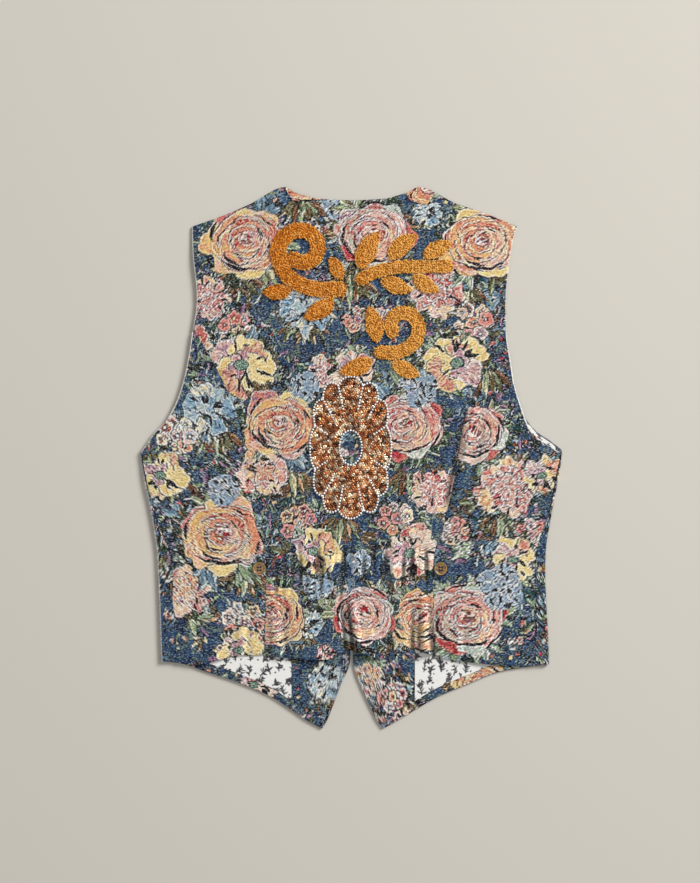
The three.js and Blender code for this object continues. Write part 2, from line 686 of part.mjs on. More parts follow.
// ---------------------------------------------------------------- the garment
for (const side of ["left", "right"]) {
  add("front_" + side, front(side), "jacquard");
  add("front_facing_" + side, frontFacing(side), "facing");
  add("front_lining_" + side, frontLining(side), "lining");
  add("back_side_" + side, backSide(side), "jacquard");
  add("neck_roll_" + side, neckRoll(side), "facing");
}
add("armhole_lining_right", armholeLining(), "lining");
add("back_centre", backCentre(), "jacquard");
add("sequin_medallion", sequinMedallion(), "sequins");
for (const stroke of chenilleStrokes()) add("chenille_" + stroke.name, chenille(stroke), "chenille");
for (const place of BUTTONS) add("button_" + place.side, button(place), "horn");

export default vest;
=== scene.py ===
# %% [markdown]
# # A flower jacquard waistcoat, laid on its front
#
# The waistcoat lies flat with its front on the table and its back up: two fronts below,
# their facings and linings showing under the back hem, and the back in three panels on top.
# Embroidery in looped chenille, a medallion of sequins and beads, and two buttons lie on it.
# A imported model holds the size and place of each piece. It is loaded first, and everything
# below is made in its frame, in metres, with lengths of cloth written in millimetres.

# %% Load the frame
import math

import bpy
import numpy as np
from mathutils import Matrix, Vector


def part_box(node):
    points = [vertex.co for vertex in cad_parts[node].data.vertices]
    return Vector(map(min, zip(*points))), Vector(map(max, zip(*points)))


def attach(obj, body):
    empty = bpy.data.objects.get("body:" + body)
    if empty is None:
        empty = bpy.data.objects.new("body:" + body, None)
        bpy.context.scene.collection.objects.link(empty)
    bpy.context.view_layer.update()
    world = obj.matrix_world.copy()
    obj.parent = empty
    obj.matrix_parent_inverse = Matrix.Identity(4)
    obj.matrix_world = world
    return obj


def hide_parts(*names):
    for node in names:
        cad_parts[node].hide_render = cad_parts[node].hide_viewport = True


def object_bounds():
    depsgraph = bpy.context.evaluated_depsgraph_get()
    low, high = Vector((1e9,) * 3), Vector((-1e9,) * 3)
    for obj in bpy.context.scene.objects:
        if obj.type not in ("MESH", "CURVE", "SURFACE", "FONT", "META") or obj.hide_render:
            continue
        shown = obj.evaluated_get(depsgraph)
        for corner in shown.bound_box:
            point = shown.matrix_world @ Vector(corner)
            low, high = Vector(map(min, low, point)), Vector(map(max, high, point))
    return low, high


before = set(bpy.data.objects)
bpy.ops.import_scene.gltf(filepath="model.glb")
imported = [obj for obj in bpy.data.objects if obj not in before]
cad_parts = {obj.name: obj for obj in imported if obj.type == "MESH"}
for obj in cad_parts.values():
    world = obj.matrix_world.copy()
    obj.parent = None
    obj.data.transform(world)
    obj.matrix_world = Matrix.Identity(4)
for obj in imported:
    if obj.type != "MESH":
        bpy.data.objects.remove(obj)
cad_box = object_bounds()
MM = 0.001
print("pieces in the frame:", len(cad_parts))

# %% [markdown]
# ## The camera
#
# The waistcoat is seen from straight above, as a garment on a table is. A camera could be
# orthographic, but a long lens some way up gives the slight perspective of a real one.
# Its distance follows from how much of the table the picture's height takes in.

# %% Camera over the table
VIEW_HEIGHT = 1.024
VIEW_CENTRE = (-0.0017, 0.0191)
LENS, SENSOR = 85, 36

distance = VIEW_HEIGHT * LENS / SENSOR
bpy.ops.object.camera_add(location=(*VIEW_CENTRE, distance), rotation=(0, 0, 0))
camera = bpy.context.object
camera.data.lens = LENS
camera.data.sensor_width = SENSOR
bpy.context.scene.camera = camera
print(f"camera {distance:.2f} m above the table")

# %% [markdown]
# ## Outlines of the cut pieces
#
# A tailor draws each edge of a piece as a smooth line through a few measured points. A Bezier
# curve would do, but a cubic through the points that never overshoots gives y at any x at
# once, for whole arrays of points, so a sheet of cloth can be laid into its outline directly.

# %% Smooth lines through measured points
def table(text):
    """Rows of numbers: the words of each line, with those that aren't numbers kept as they are."""
    def value(word):
        return float(word) if word.lstrip("-").replace(".", "").isdigit() else word
    return [[value(word) for word in line.split()] for line in text.strip().splitlines()]


def curve(rows):
    """A smooth line through rows of (at, value), with no overshoot."""
    at, value = np.array(sorted(rows), float).T
    rise = np.diff(value) / np.diff(at)
    before, after = rise[:-1], rise[1:]
    pair = before * after
    between = np.where(pair > 0, 2 * pair / (before + after + 1e-12), 0)
    slope = np.concatenate([rise[:1], between, rise[-1:]])

    def read(x):
        k = np.clip(np.searchsorted(at, x, side="right") - 1, 0, len(at) - 2)
        span = at[k + 1] - at[k]
        t = np.clip((x - at[k]) / span, 0, 1)
        ends = (2 * t**3 - 3 * t**2 + 1) * value[k] + (3 * t**2 - 2 * t**3) * value[k + 1]
        return ends + ((t**3 - 2 * t**2 + t) * slope[k] + (t**3 - t**2) * slope[k + 1]) * span
    return read


def lerp(a, b, t):
    return a + (b - a) * t


def smoothstep(value, low, high):
    t = np.clip((value - low) / (high - low), 0, 1)
    return t * t * (3 - 2 * t)


# %% Sizes of the garment
LENGTH, WIDTH = 627.4, 489
TOP_Y, TIP_Y, PIT_X = LENGTH / 2, -LENGTH / 2, WIDTH / 2
SHOULDER_Y, PIT_Y, WAIST_Y = 268, 6, -128
NECK_HALF = 77
HEM_CORNER_Y = -228
PRINCESS_TOP_Y = 148
FRONT_NECK_Y = 60
HEM_FACING = 10
FACING_END_X, FACING_TOP_Y = 200, -212
FACING_EDGE_X = {"left": -69, "right": 73}
CLOTH, LINING, GAP = 1.6, 1.0, 0.3
ROLL = 2.6
ROLL_ROOM = 1.1
BACK_Z, SHOULDER_Z, NECK_Z = 3.9, CLOTH + GAP, 1.0
SIDES = {"left": -1, "right": 1}
low, high = cad_box
packed = (high - low) / MM
print(f"drawn {WIDTH} x {LENGTH} mm, packed {packed.x:.0f} x {packed.y:.0f} mm")

# %% Edges of the back and of the fronts
NECKLINE = [(-NECK_HALF, TOP_Y), (-69, 309), (-55, 304), (-37, 300.5), (0, 298.7),
            (39, 300.5), (53, 304), (67, 308.6), (NECK_HALF, TOP_Y)]
SHOULDERS = {
    "left": [(-185, SHOULDER_Y), (-148, 281), (-118, 294)],
    "right": [(121, 295), (161, 281), (192.5, SHOULDER_Y)],
}
TOP_EDGE = curve(SHOULDERS["left"] + NECKLINE + SHOULDERS["right"])

BACK_ARMHOLE = {
    "left": curve([(PIT_Y, -PIT_X), (16, -237), (29, -228), (44, -214), (72, -200), (100, -192),
                   (141, -185), (185, -179), (239, -184), (SHOULDER_Y, -185)]),
    "right": curve([(PIT_Y, PIT_X - 2), (12, 232), (24, 215), (35, 206), (58, 197), (86, 188.5),
                    (114, 184), (141, 180), (176, 179), (225, 183), (257, 188.5), (SHOULDER_Y, 192.5)]),
}
FRONT_ARMHOLE = {
    "left": curve([(16, -236), (29, -227), (44, -213), (72, -199), (100, -191),
                   (141, -184), (185, -178), (239, -183), (SHOULDER_Y, -185)]),
    "right": curve([(9, PIT_X - 0.5), (20, 230), (30, 215), (44, 203), (58, 197), (86, 187.5),
                    (114, 183), (141, 179), (176, 178), (225, 182), (257, 187.5), (SHOULDER_Y, 192.5)]),
}
SIDE_FOLD = {
    "left": curve([(-235.5, -221), (-206, -222), (-137, -224.5), (-109, -226), (-81, -230),
                   (-53, -235), (-25, -241), (PIT_Y, -PIT_X)]),
    "right": curve([(-239, 229), (-199.5, 227.5), (-165, 225.6), (-130, 224.5), (-102, 225.6),
                    (-81, 229), (-53, 234), (-25, 239.5), (PIT_Y, PIT_X)]),
}
SIDE_SEAM = {
    "left": curve([(-235.5, -203), (-199, -203), (-165, -207), (-130, -207), (-101, -213),
                   (-83, -221), (-60, -227), (-25, -238.5), (PIT_Y, -PIT_X + 0.5)]),
    "right": curve([(-239, 213), (-165, 212), (-130, 213), (-101, 216), (-80, 223),
                    (-58, 231), (-22, 237.5), (PIT_Y, PIT_X - 0.5)]),
}
PRINCESS = {
    "left": curve([(HEM_CORNER_Y, -101), (-130, -99), (-111, -99), (-85, -108.5), (-48, -117),
                   (-20, -123.5), (37, -129), (64, -137.5), (116, -163), (PRINCESS_TOP_Y, -182)]),
    "right": curve([(HEM_CORNER_Y, 94.5), (-130, 94.5), (-111, 96), (-85, 105), (-48, 114), (-20, 120),
                    (37, 129), (64, 137.5), (116, 162), (PRINCESS_TOP_Y, 177.5)]),
}
BACK_HEM = {
    "left": curve([(-221, -235.5), (-172, -239), (-155, -234), (-127, -228), (-101, HEM_CORNER_Y)]),
    "centre": curve([(-101, HEM_CORNER_Y), (-68, -232), (-28, -233), (0, -222.7), (38, -232),
                     (66, -221), (94.5, HEM_CORNER_Y)]),
    "right": curve([(94.5, HEM_CORNER_Y), (113, -233), (149, -238), (180, -240), (229, -240)]),
}
FRONT_HEM = {
    "left": curve([(-221, -235.5), (-199, -238), (-168, -248), (-127, -262), (-94.5, -276),
                   (-72.5, -290), (-52, -304), (-34, TIP_Y)]),
    "right": curve([(36.5, TIP_Y), (54, -304), (77, -290), (101.5, -276), (135, -262),
                    (170, -248), (190, -244), (229, -239)]),
}
TIP_EDGE = {
    "left": [(TIP_Y, -34), (-304, -28), (-290, -22.6), (-262, -12), (-236, -1.7), (-200, -0.6)],
    "right": [(TIP_Y, 36.5), (-304, 29.6), (-290, 22.6), (-262, 10), (-236, 1.7), (-200, 0.6)],
}
FRONT_EDGE = {
    "left": curve(TIP_EDGE["left"] + [(FRONT_NECK_Y, -0.6), (140, -24), (TOP_Y, -NECK_HALF)]),
    "right": curve(TIP_EDGE["right"] + [(FRONT_NECK_Y, 0.6), (140, 24), (TOP_Y, NECK_HALF)]),
}
FOOT_Y = {"left": -235.5, "right": -239}
PIT_TOP = {"left": 16, "right": 9}
HEM_FOOT_X = {"left": -101, "right": 94.5}
neck_y, point_y = TOP_EDGE(np.array([0.0, NECK_HALF]))
print(f"back neck {neck_y:.1f} mm, shoulder point {point_y:.1f} mm")

# %% [markdown]
# ## How the cloth lies
#
# The back isn't flat. Hidden elastic at the waist gathers it between the buttons, a deep
# pleat runs down from it, and the hem flares. A cloth simulation could settle such folds, but
# these are few and each has its own place, so each one is a soft ridge with its own length,
# lean and height, and the height of the cloth is their sum.

# %% Folds of the back
# fade x, fade y, full x, full y, half width left, half width right, height, all in mm
FOLDS = table("""
    -52 -150 -46 -243 40 34 5.0
    0 -142 13 -243 11 40 7.5
    84 -140 85 -243 12 13 5.0
    -88 -138 -84 -243 12 14 3.0
    -86 -88 -84 -124 11 11 2.6
    -53 -84 -51 -124 13 12 3.2
    -24 -96 -24 -124 12 12 2.0
    10 -80 7 -124 12 14 3.4
    56 -88 53 -124 14 12 3.0
    150 -150 158 -243 30 26 2.2
    -150 -140 -160 -243 28 30 2.2
""")
FOLD_END = 22
FADED_WIDTH = 0.6
SWELL = dict(y=90, height=1.8, half_width=165, half_height=170)
SHOULDER_SLOPE = 55
NECK_LOW_TO_HIGH, NECK_NEAR_TO_FAR = (235, 297), (30, 62)


def ridge(fold, x, y):
    """A soft ridge from its faded end to its full end, with its own width to the left and right."""
    fade_x, fade_y, full_x, full_y, left, right, height = fold
    t = (y - fade_y) / (full_y - fade_y)
    past = np.maximum(0, np.abs(y - fade_y) - abs(full_y - fade_y))
    strength = smoothstep(t, 0, 1) * (1 - smoothstep(past, 0, FOLD_END))
    along = np.clip(t, 0, 1)
    offset = x - lerp(fade_x, full_x, along)
    reach = np.where(offset < 0, left, right) * lerp(FADED_WIDTH, 1, along)
    across = np.clip(np.abs(offset) / reach, 0, 1)
    return height * strength * 0.5 * (1 + np.cos(np.pi * across))


def lying_height(x, y):
    """Height of the back's under side, as the solids have it."""
    shoulder = 1 - smoothstep(TOP_EDGE(x) - y, 0, SHOULDER_SLOPE)
    neck = smoothstep(y, *NECK_LOW_TO_HIGH) * (1 - smoothstep(np.abs(x), *NECK_NEAR_TO_FAR))
    lying = lerp(lerp(BACK_Z, SHOULDER_Z, shoulder), NECK_Z, neck)
    off_centre = np.hypot(x / SWELL["half_width"], (y - SWELL["y"]) / SWELL["half_height"])
    swell = SWELL["height"] * (1 - smoothstep(off_centre, 0, 1))
    return lying + swell + sum(ridge(fold, x, y) for fold in FOLDS)


def steady(ix, iy, seed):
    """A steady random number from 0 to 1 for each whole place."""
    n = np.sin(ix * 127.1 + iy * 311.7 + seed * 74.7) * 43758.5453
    return n - np.floor(n)


def hills(x, y, seed):
    """Smooth random hills from 0 to 1, one for each unit of distance."""
    ix, iy = np.floor(x), np.floor(y)
    fx, fy = x - ix, y - iy
    fx, fy = fx * fx * (3 - 2 * fx), fy * fy * (3 - 2 * fy)
    near = lerp(steady(ix, iy, seed), steady(ix + 1, iy, seed), fx)
    far = lerp(steady(ix, iy + 1, seed), steady(ix + 1, iy + 1, seed), fx)
    return lerp(near, far, fy)


print(f"the pleat rises to {float(lying_height(np.array([13.0]), np.array([-225.0]))[0]):.1f} mm")

# %% Small creases
# The columns are those of FOLDS, and a height below 0 is a groove.
CREASES = table("""
    -15 -142 -5 -236 6 7 -2.3
    -4 -142 6 -214 6 16 3.0
    72 -148 70 -232 7 5 -2.0
    84 -142 86 -232 8 9 2.6
    -69 -88 -68 -126 6 7 -2.2
    -38 -92 -38 -126 5 6 -2.2
    -8 -84 -9 -126 5 6 -2.4
    27 -80 25 -126 7 5 -2.3
    40 -98 39 -126 5 5 -1.6
    72 -92 70 -126 6 5 -2.2
    86 -96 86 -126 4 5 -2.0
    -88 -176 -86 -129 5 5 -2.2
    -74 -170 -72 -129 5 5 2.0
    -60 -162 -59 -129 5 6 -2.0
    -48 -186 -46 -129 6 5 2.2
    -36 -172 -34 -129 6 5 -2.2
    -22 -158 -23 -129 5 5 1.8
    -12 -176 -11 -129 5 5 -2.3
    14 -160 14 -129 5 5 -2.0
    24 -166 23 -129 6 6 2.2
    36 -158 35 -129 5 5 -1.9
    50 -178 48 -129 5 6 2.0
    60 -166 60 -129 5 5 -2.0
    76 -158 74 -129 5 5 1.8
    87 -160 87 -129 4 5 -2.0
    153 150 112 -45 11 4 -2.0
    163 150 122 -45 6 20 2.6
    -150 60 -120 -60 16 20 0.9
    -60 250 -40 160 20 24 0.8
    70 270 90 170 22 20 0.9
    120 90 104 -20 18 22 -0.8
    -20 -30 -30 -90 16 12 0.9
    60 -10 66 -80 14 16 0.9
    175 -60 160 -120 14 16 -0.9
    -180 -50 -165 -120 16 14 -0.9
    190 -140 184 -235 12 10 0.9
    -186 -150 -184 -235 10 12 0.8
    128 -150 126 -235 9 10 0.9
    -122 -150 -126 -235 10 10 0.8
""")
# Grooves that cross stay this shallow. A ripple is its length across and up, height and seed.
DEEPEST = -2.3
RIPPLES = [(34, 46, 0.7, 3), (15, 19, 0.35, 5)]
RIPPLE_START, RIPPLE_FULL = 4, 30


def crease_height(x, y):
    """What the small creases add: uneven tucks at the waist and shallow ripples elsewhere."""
    made = np.maximum(sum(ridge(fold, x, y) for fold in CREASES), DEEPEST)
    inner = smoothstep(TOP_EDGE(x) - y, RIPPLE_START, RIPPLE_FULL)
    ripple = sum(high * (hills(x / wide, y / tall, seed) - 0.5) for wide, tall, high, seed in RIPPLES)
    return made + inner * ripple


def back_height(x, y):
    return lying_height(x, y) + crease_height(x, y)


HOLLOW_REACH = 4.5


def hollow(x, y):
    """How far the cloth at x, y lies below the cloth a little way off on both sides, in mm."""
    around = (back_height(x - HOLLOW_REACH, y) + back_height(x + HOLLOW_REACH, y)) / 2
    return around - back_height(x, y)


print("creases:", len(CREASES))

# %% [markdown]
# ## A sheet of cloth
#
# A cut piece is a thin wall with an outer and an inner face, closed round its rim. It could
# be a plane with a Solidify modifier, but then both faces would be as fine as the woven
# picture needs. Here a grid is extruded once, so that it is a closed slab, and where the
# upper face has to be finer, that face alone is subdivided. Its points are still a plain
# square then, and each one knows how far across and up it is, so laying the slab into its
# outline is one formula.

# %% Sheets of cloth
def deselect():
    if bpy.context.mode != "OBJECT":
        bpy.ops.object.mode_set(mode="OBJECT")
    bpy.ops.object.select_all(action="DESELECT")


def select_only(piece):
    deselect()
    piece.select_set(True)
    bpy.context.view_layer.objects.active = piece


def just_made(name=None):
    """The object that was added last, with its place, turn and size moved into its points."""
    bpy.ops.object.transform_apply(location=True, rotation=True, scale=True)
    piece = bpy.context.object
    if name:
        piece.name = piece.data.name = name
    return piece


def face_out(piece):
    """Turns every face outwards."""
    select_only(piece)
    bpy.ops.object.mode_set(mode="EDIT")
    bpy.ops.mesh.select_all(action="SELECT")
    bpy.ops.mesh.normals_make_consistent(inside=False)
    bpy.ops.object.mode_set(mode="OBJECT")


def slab(name, across, up, upper_cuts=0):
    """A slab of across x up cells from (0, 0, 0) to (1, 1, 1), with its upper face cut finer."""
    deselect()
    bpy.ops.mesh.primitive_grid_add(x_subdivisions=across, y_subdivisions=up, size=1,
                                    location=(0.5, 0.5, 0))
    piece = just_made(name)
    bpy.ops.object.mode_set(mode="EDIT")
    bpy.ops.mesh.select_all(action="SELECT")
    bpy.ops.mesh.extrude_region_move(TRANSFORM_OT_translate={"value": (0, 0, 1)})
    if upper_cuts:
        bpy.ops.mesh.subdivide(number_cuts=upper_cuts)
    bpy.ops.object.mode_set(mode="OBJECT")
    return piece


def points_of(piece):
    flat = np.empty(3 * len(piece.data.vertices))
    piece.data.vertices.foreach_get("co", flat)
    return flat.reshape(-1, 3).T


def lay(piece, place):
    """Moves each point of a slab from (across, up, layer) to the place in mm that place gives."""
    across, up, layer = points_of(piece)
    x, y, z = place(across, up, layer)
    piece.data.vertices.foreach_set("co", (np.stack([x, y, z], 1) * MM).ravel())
    piece.data.update()
    face_out(piece)
    return across, up, layer, x, y


def smooth(piece, angle=40):
    select_only(piece)
    bpy.ops.object.shade_smooth_by_angle(angle=math.radians(angle))


def remember(piece, name, values):
    """Stores a colour (4 numbers) or a vector (3 numbers) for each point of a piece."""
    kind, key = {4: ("FLOAT_COLOR", "color"), 3: ("FLOAT_VECTOR", "vector")}[values.shape[1]]
    layer = piece.data.attributes.new(name, kind, "POINT")
    layer.data.foreach_set(key, np.ascontiguousarray(values, dtype=np.float32).ravel())


print("slabs, laying and smoothing are ready")

# %% [markdown]
# ## The woven picture
#
# A jacquard loom draws its flowers with short stitches of a few coloured threads. An image
# could be wrapped over the cloth, but this picture is woven by the script itself. Each point
# of a sheet gets the colour of its main thread, the colour of a second thread, how strongly
# that one shows, how dark an outline is there, and the direction in which the stitches run.
# The material turns these into stitches later, so that edges stay crisp up close.

# %% Thread colours
def dye(text):
    """A thread colour from six hex digits, as seen on a screen."""
    return np.array([int(text[i:i + 2], 16) for i in (0, 2, 4)]) / 255


def threads(text):
    return [dye(word) for word in text.split()]


INK, SHADE, NAVY, BLUE, STEEL = threads("1d1e25 2e3846 43556a 586f89 8297a6")
WHITE, SKY, MIST, PLUM, MAUVE = threads("ebe6de a7bfd0 c9d2cb 54455c a4859c")
CREAM, LEMON, BUTTER, PEACH, TAN = threads("ecdcbc e8d8a6 e2c997 dfb193 b08c6c")
BLUSH, PINK, ROSE, CRIMSON = threads("e3c8bd d3958c bf5f68 ad3a54")
TEAL, SAGE, MOSS, OLIVE, BROWN = threads("456a70 a2b096 56695a 7d755b 8a6c56")


# %% A picture on the points of a sheet
def blend(a, b, t):
    t = np.asarray(t)
    if t.ndim:
        t = t[:, None]
    return a + (b - a) * t


def pick(dyes, tone):
    """One of the dyes in turn as tone goes from 0 to 1, with short steps between them."""
    place = np.clip(tone, 0, 0.999) * (len(dyes) - 1)
    first = np.floor(place).astype(int)
    dyes = np.array(dyes)
    return blend(dyes[first], dyes[first + 1], smoothstep(place - first, 0.3, 0.7))


def streaks(along, across, seed, length=8.0, width=2.0):
    """Long soft strokes side by side, each lighter or darker, from 0 to 1."""
    return smoothstep(hills(along / length + 40, across / width + 40, seed), 0.12, 0.88)


# The outlines wobble a little, as if drawn by hand: how far apart and how deep, in mm.
BROAD_WOBBLE, FINE_WOBBLE = (9, 2.6), (3.4, 1.6)
# How soft the edge of a colour and that of a dark line are, in mm.
SOFT_EDGE, SOFT_LINE = 0.7, 1.8
# How far up its row of dyes the pale rim of a petal comes from.
RIM_TONE = 0.93
# Added to a distance where nothing is to be drawn.
OFF = 9


class Picture:
    """What the loom weaves at each point of a sheet, in mm on the cloth."""

    def __init__(self, x, y, seed):
        def wobble(size, depth, k):
            return depth * (hills(x / size, y / size, seed + k) - 0.5)
        self.x = x + wobble(*BROAD_WOBBLE, 20) + wobble(*FINE_WOBBLE, 21)
        self.y = y + wobble(*BROAD_WOBBLE, 22) + wobble(*FINE_WOBBLE, 23)
        self.order = np.argsort(self.x)
        self.sorted_x = self.x[self.order]
        self.rng = np.random.default_rng(seed)
        self.seed = seed
        self.paint = np.zeros((len(x), 3))
        self.accent = np.zeros((len(x), 3))
        self.contrast = np.full(len(x), 0.7)
        self.ink = np.zeros(len(x))
        self.grain = np.stack([self.x, self.y], 1)


class Spot:
    """The points near one motif, with its own axes u and v in mm. It can be lower than it is wide."""

    def __init__(self, picture, x, y, reach, turn=0.0, flat=1.0):
        first, last = np.searchsorted(picture.sorted_x, [x - reach, x + reach])
        near = picture.order[first:last]
        near = near[np.hypot(picture.x[near] - x, picture.y[near] - y) < reach]
        self.east, self.north = picture.x[near] - x, (picture.y[near] - y) / flat
        c, s = math.cos(math.radians(turn)), math.sin(math.radians(turn))
        self.u, self.v = self.east * c + self.north * s, self.north * c - self.east * s
        self.r, self.angle = np.hypot(self.u, self.v), np.arctan2(self.v, self.u)
        self.picture, self.near = picture, near

    def lay(self, inside, paint, accent=None, contrast=0.5, along=None, across=None):
        """Lays a colour where inside is over 0, in mm from its edge."""
        cover = np.clip(0.5 + inside / SOFT_EDGE, 0, 1)
        p, k = self.picture, self.near
        paint = np.broadcast_to(paint, (len(k), 3))
        accent = paint if accent is None else np.broadcast_to(accent, (len(k), 3))
        p.paint[k] = blend(p.paint[k], paint, cover)
        p.accent[k] = blend(p.accent[k], accent, cover)
        p.contrast[k] += (contrast - p.contrast[k]) * cover
        p.ink[k] *= 1 - cover
        if along is not None:
            p.grain[k] = np.where(cover[:, None] > 0.5, np.stack([along, across], 1), p.grain[k])

    def line(self, distance, width):
        """Draws a dark line where distance is near 0."""
        k = self.near
        cover = np.clip(0.5 - (np.abs(distance) - width / 2) / SOFT_LINE, 0, 1)
        self.picture.ink[k] = np.maximum(self.picture.ink[k], cover)

    def petal(self, away, heading, size, dyes, line, seed,
              radial=False, ragged=0.14, shift=0.0, rim=2.0):
        """A round petal with a thin line round it, a pale rim and strokes in several dyes.

        The strokes run along its edge, or out from the heart of the flower if it is radial."""
        u, v = self.u - away * math.cos(heading), self.v - away * math.sin(heading)
        r, a = np.hypot(u, v), np.arctan2(v, u)
        lobes = 0.5 * ragged * np.sin((3 + seed % 3) * a + seed)
        lobes = lobes + ragged * (hills(a * 2.2 + 9, 0 * a + seed, seed) - 0.5)
        inside = size * (1 + lobes) - r
        across = self.angle * size * 1.4 if radial else r
        along = self.r * 1.1 if radial else a * size
        tone = 0.72 * streaks(along, across, seed) + 0.14 + shift
        in_rim = inside < rim * (0.4 + hills(4 * a, 0 * a, seed))
        tone = np.where(in_rim, np.maximum(tone, RIM_TONE), tone)
        line_width = 1.8 * smoothstep(hills(a * 2.5 + 9, 0 * a, seed + 4), 0.35, 0.75)
        self.lay(inside + line_width - 0.3, line, contrast=0.2)
        self.lay(inside, pick(dyes, tone), pick(dyes, 1.1 - tone), 0.7, along, across)

    def marks(self, count, near, far, length, width, rng, start=0, end=360):
        """Bold dark marks that point away from the heart, between two distances."""
        for _ in range(count):
            heading, away = math.radians(rng.uniform(start, end)), rng.uniform(near, far)
            lean = heading + rng.uniform(-0.5, 0.5)
            u, v = self.u - away * math.cos(heading), self.v - away * math.sin(heading)
            s, t = u * math.cos(lean) + v * math.sin(lean), v * math.cos(lean) - u * math.sin(lean)
            t = t + 0.6 * np.sin(s / 2.5)
            half = 0.5 * length * rng.uniform(0.6, 1.3)
            full = np.clip(1 - (s / half) ** 2, 0, 1)
            self.line(np.abs(t) + OFF * (full == 0) + width * 0.5 * (1 - full), width)


def stretch_of(angle, start, end):
    """0 outside an arc from start to end degrees, rising to 1 in its middle."""
    span = math.radians(end - start)
    off = (angle - math.radians(start)) % (2 * np.pi)
    return np.where(off < span, np.sin(np.pi * np.clip(off / span, 0, 1)), 0)


print("pictures and spots are ready")


# %% Dabs all over
def dabs(picture, near, cell, share, length, width, dyes, seed, rim=0.5):
    """Leaf-shaped dabs, at most one to each cell of a net in mm, laid over each other by chance."""
    gx, gy = picture.x[near] / cell, picture.y[near] / cell
    best = np.zeros(len(gx))
    found = np.zeros((4, len(gx)))
    for ox in (-1, 0, 1):
        for oy in (-1, 0, 1):
            cx, cy = np.floor(gx) + ox, np.floor(gy) + oy
            luck = [steady(cx, cy, seed + k) for k in range(6)]
            dx, dy = gx - cx - luck[0], gy - cy - luck[1]
            angle = 12 * hills(cx * cell / 50, cy * cell / 50, seed + 9) + 2.4 * luck[2]
            size = 0.6 + 0.6 * luck[3]
            s = dx * np.cos(angle) + dy * np.sin(angle)
            t = dy * np.cos(angle) - dx * np.sin(angle)
            inside = width * size * (1 - (s / (length * size)) ** 2) - np.abs(t)
            win = (inside > 0) & (luck[4] > best) & (luck[5] < share)
            best[win] = luck[4][win]
            found[:, win] = np.stack([inside, s, t, steady(cx, cy, seed + 7)])[:, win]
    on = best > 0
    inside, s, t, chance = found[:, on]
    k = np.asarray(near)[on]
    paint = np.array(dyes)[(chance * len(dyes)).astype(int)]
    other = np.array(dyes)[((chance * 7.3) % 1 * len(dyes)).astype(int)]
    picture.paint[k] = blend(paint, INK, np.where(t > 0.04, 0.28, 0))
    picture.accent[k] = other
    picture.contrast[k] = 0.55
    picture.grain[k] = np.stack([s, t], 1) * cell
    picture.ink[k] = np.where((inside * cell < 0.9) & (chance * 3.7 % 1 < rim), 0.75, 0)


# %% Leaves and sprigs
def leaf(picture, x, y, length, width, heading, dyes, rim, midrib):
    """A leaf or petal from its foot at x, y, light on one side of its rib and dark on the other."""
    cx = x + 0.5 * length * math.cos(math.radians(heading))
    cy = y + 0.5 * length * math.sin(math.radians(heading))
    spot = Spot(picture, cx, cy, length * 0.75, heading)
    t = np.clip(spot.u / length + 0.5, 0, 1)
    full = np.sin(np.pi * t ** 0.8) ** 0.9
    inside = np.where(np.abs(spot.u) > length / 2, -5, 0.5 * width * full - np.abs(spot.v))
    tone = streaks(spot.u, spot.v, int(abs(heading)), 9, 1.6)
    tone = 0.75 * tone + np.where(spot.v > 0, 0.25, 0)
    if rim is not None:
        spot.lay(inside + 0.9, rim, contrast=0.1)
    spot.lay(inside, pick(dyes, tone), pick(dyes, 1 - tone), 0.6, spot.u, spot.v)
    if midrib is not None:
        spot.lay(np.where(np.abs(t - 0.5) > 0.4, -9, 0.4 - np.abs(spot.v)), midrib)


LEAF_DYES = [(SHADE, MOSS, SAGE), (SHADE, TEAL, SAGE), (MOSS, SAGE, MIST), (OLIVE, SAGE, CREAM),
             (NAVY, STEEL, MIST), (INK, OLIVE, SAGE), (BROWN, OLIVE, PEACH), (TEAL, SAGE, WHITE),
             (INK, MOSS, TAN), (MOSS, STEEL, SKY)]


def any_leaf(rng):
    return LEAF_DYES[rng.integers(len(LEAF_DYES))]


def sprig(picture, x, y, heading, size, dyes, count):
    """A fan of leaves from one foot."""
    rng = picture.rng
    for k in range(count):
        lean = (k - (count - 1) / 2) * 36 + rng.uniform(-14, 14)
        length = size * rng.uniform(0.7, 1.15)
        rim, midrib = [INK, SHADE, None][rng.integers(3)], [INK, MIST, None][rng.integers(3)]
        leaf(picture, x, y, length, length * rng.uniform(0.26, 0.42), heading + lean, dyes, rim, midrib)


def wreath(picture, x, y, radius, seed, count=6):
    """Leaves that look out from behind a flower."""
    rng = np.random.default_rng(seed)
    near = Spot(picture, x, y, radius * 1.12).near
    dabs(picture, near, 9, 0.7, 0.9, 0.28, [SAGE, MOSS, INK, MIST, SHADE, OLIVE], seed)
    for heading in np.linspace(0, 360, count, endpoint=False):
        angle = math.radians(heading + rng.uniform(-12, 12))
        foot_x, foot_y = x + 0.7 * radius * math.cos(angle), y + 0.7 * radius * math.sin(angle)
        out = math.degrees(angle) + rng.uniform(-20, 20)
        sprig(picture, foot_x, foot_y, out, radius * 0.55, any_leaf(rng), 3)


print("leaf dyes:", len(LEAF_DYES))

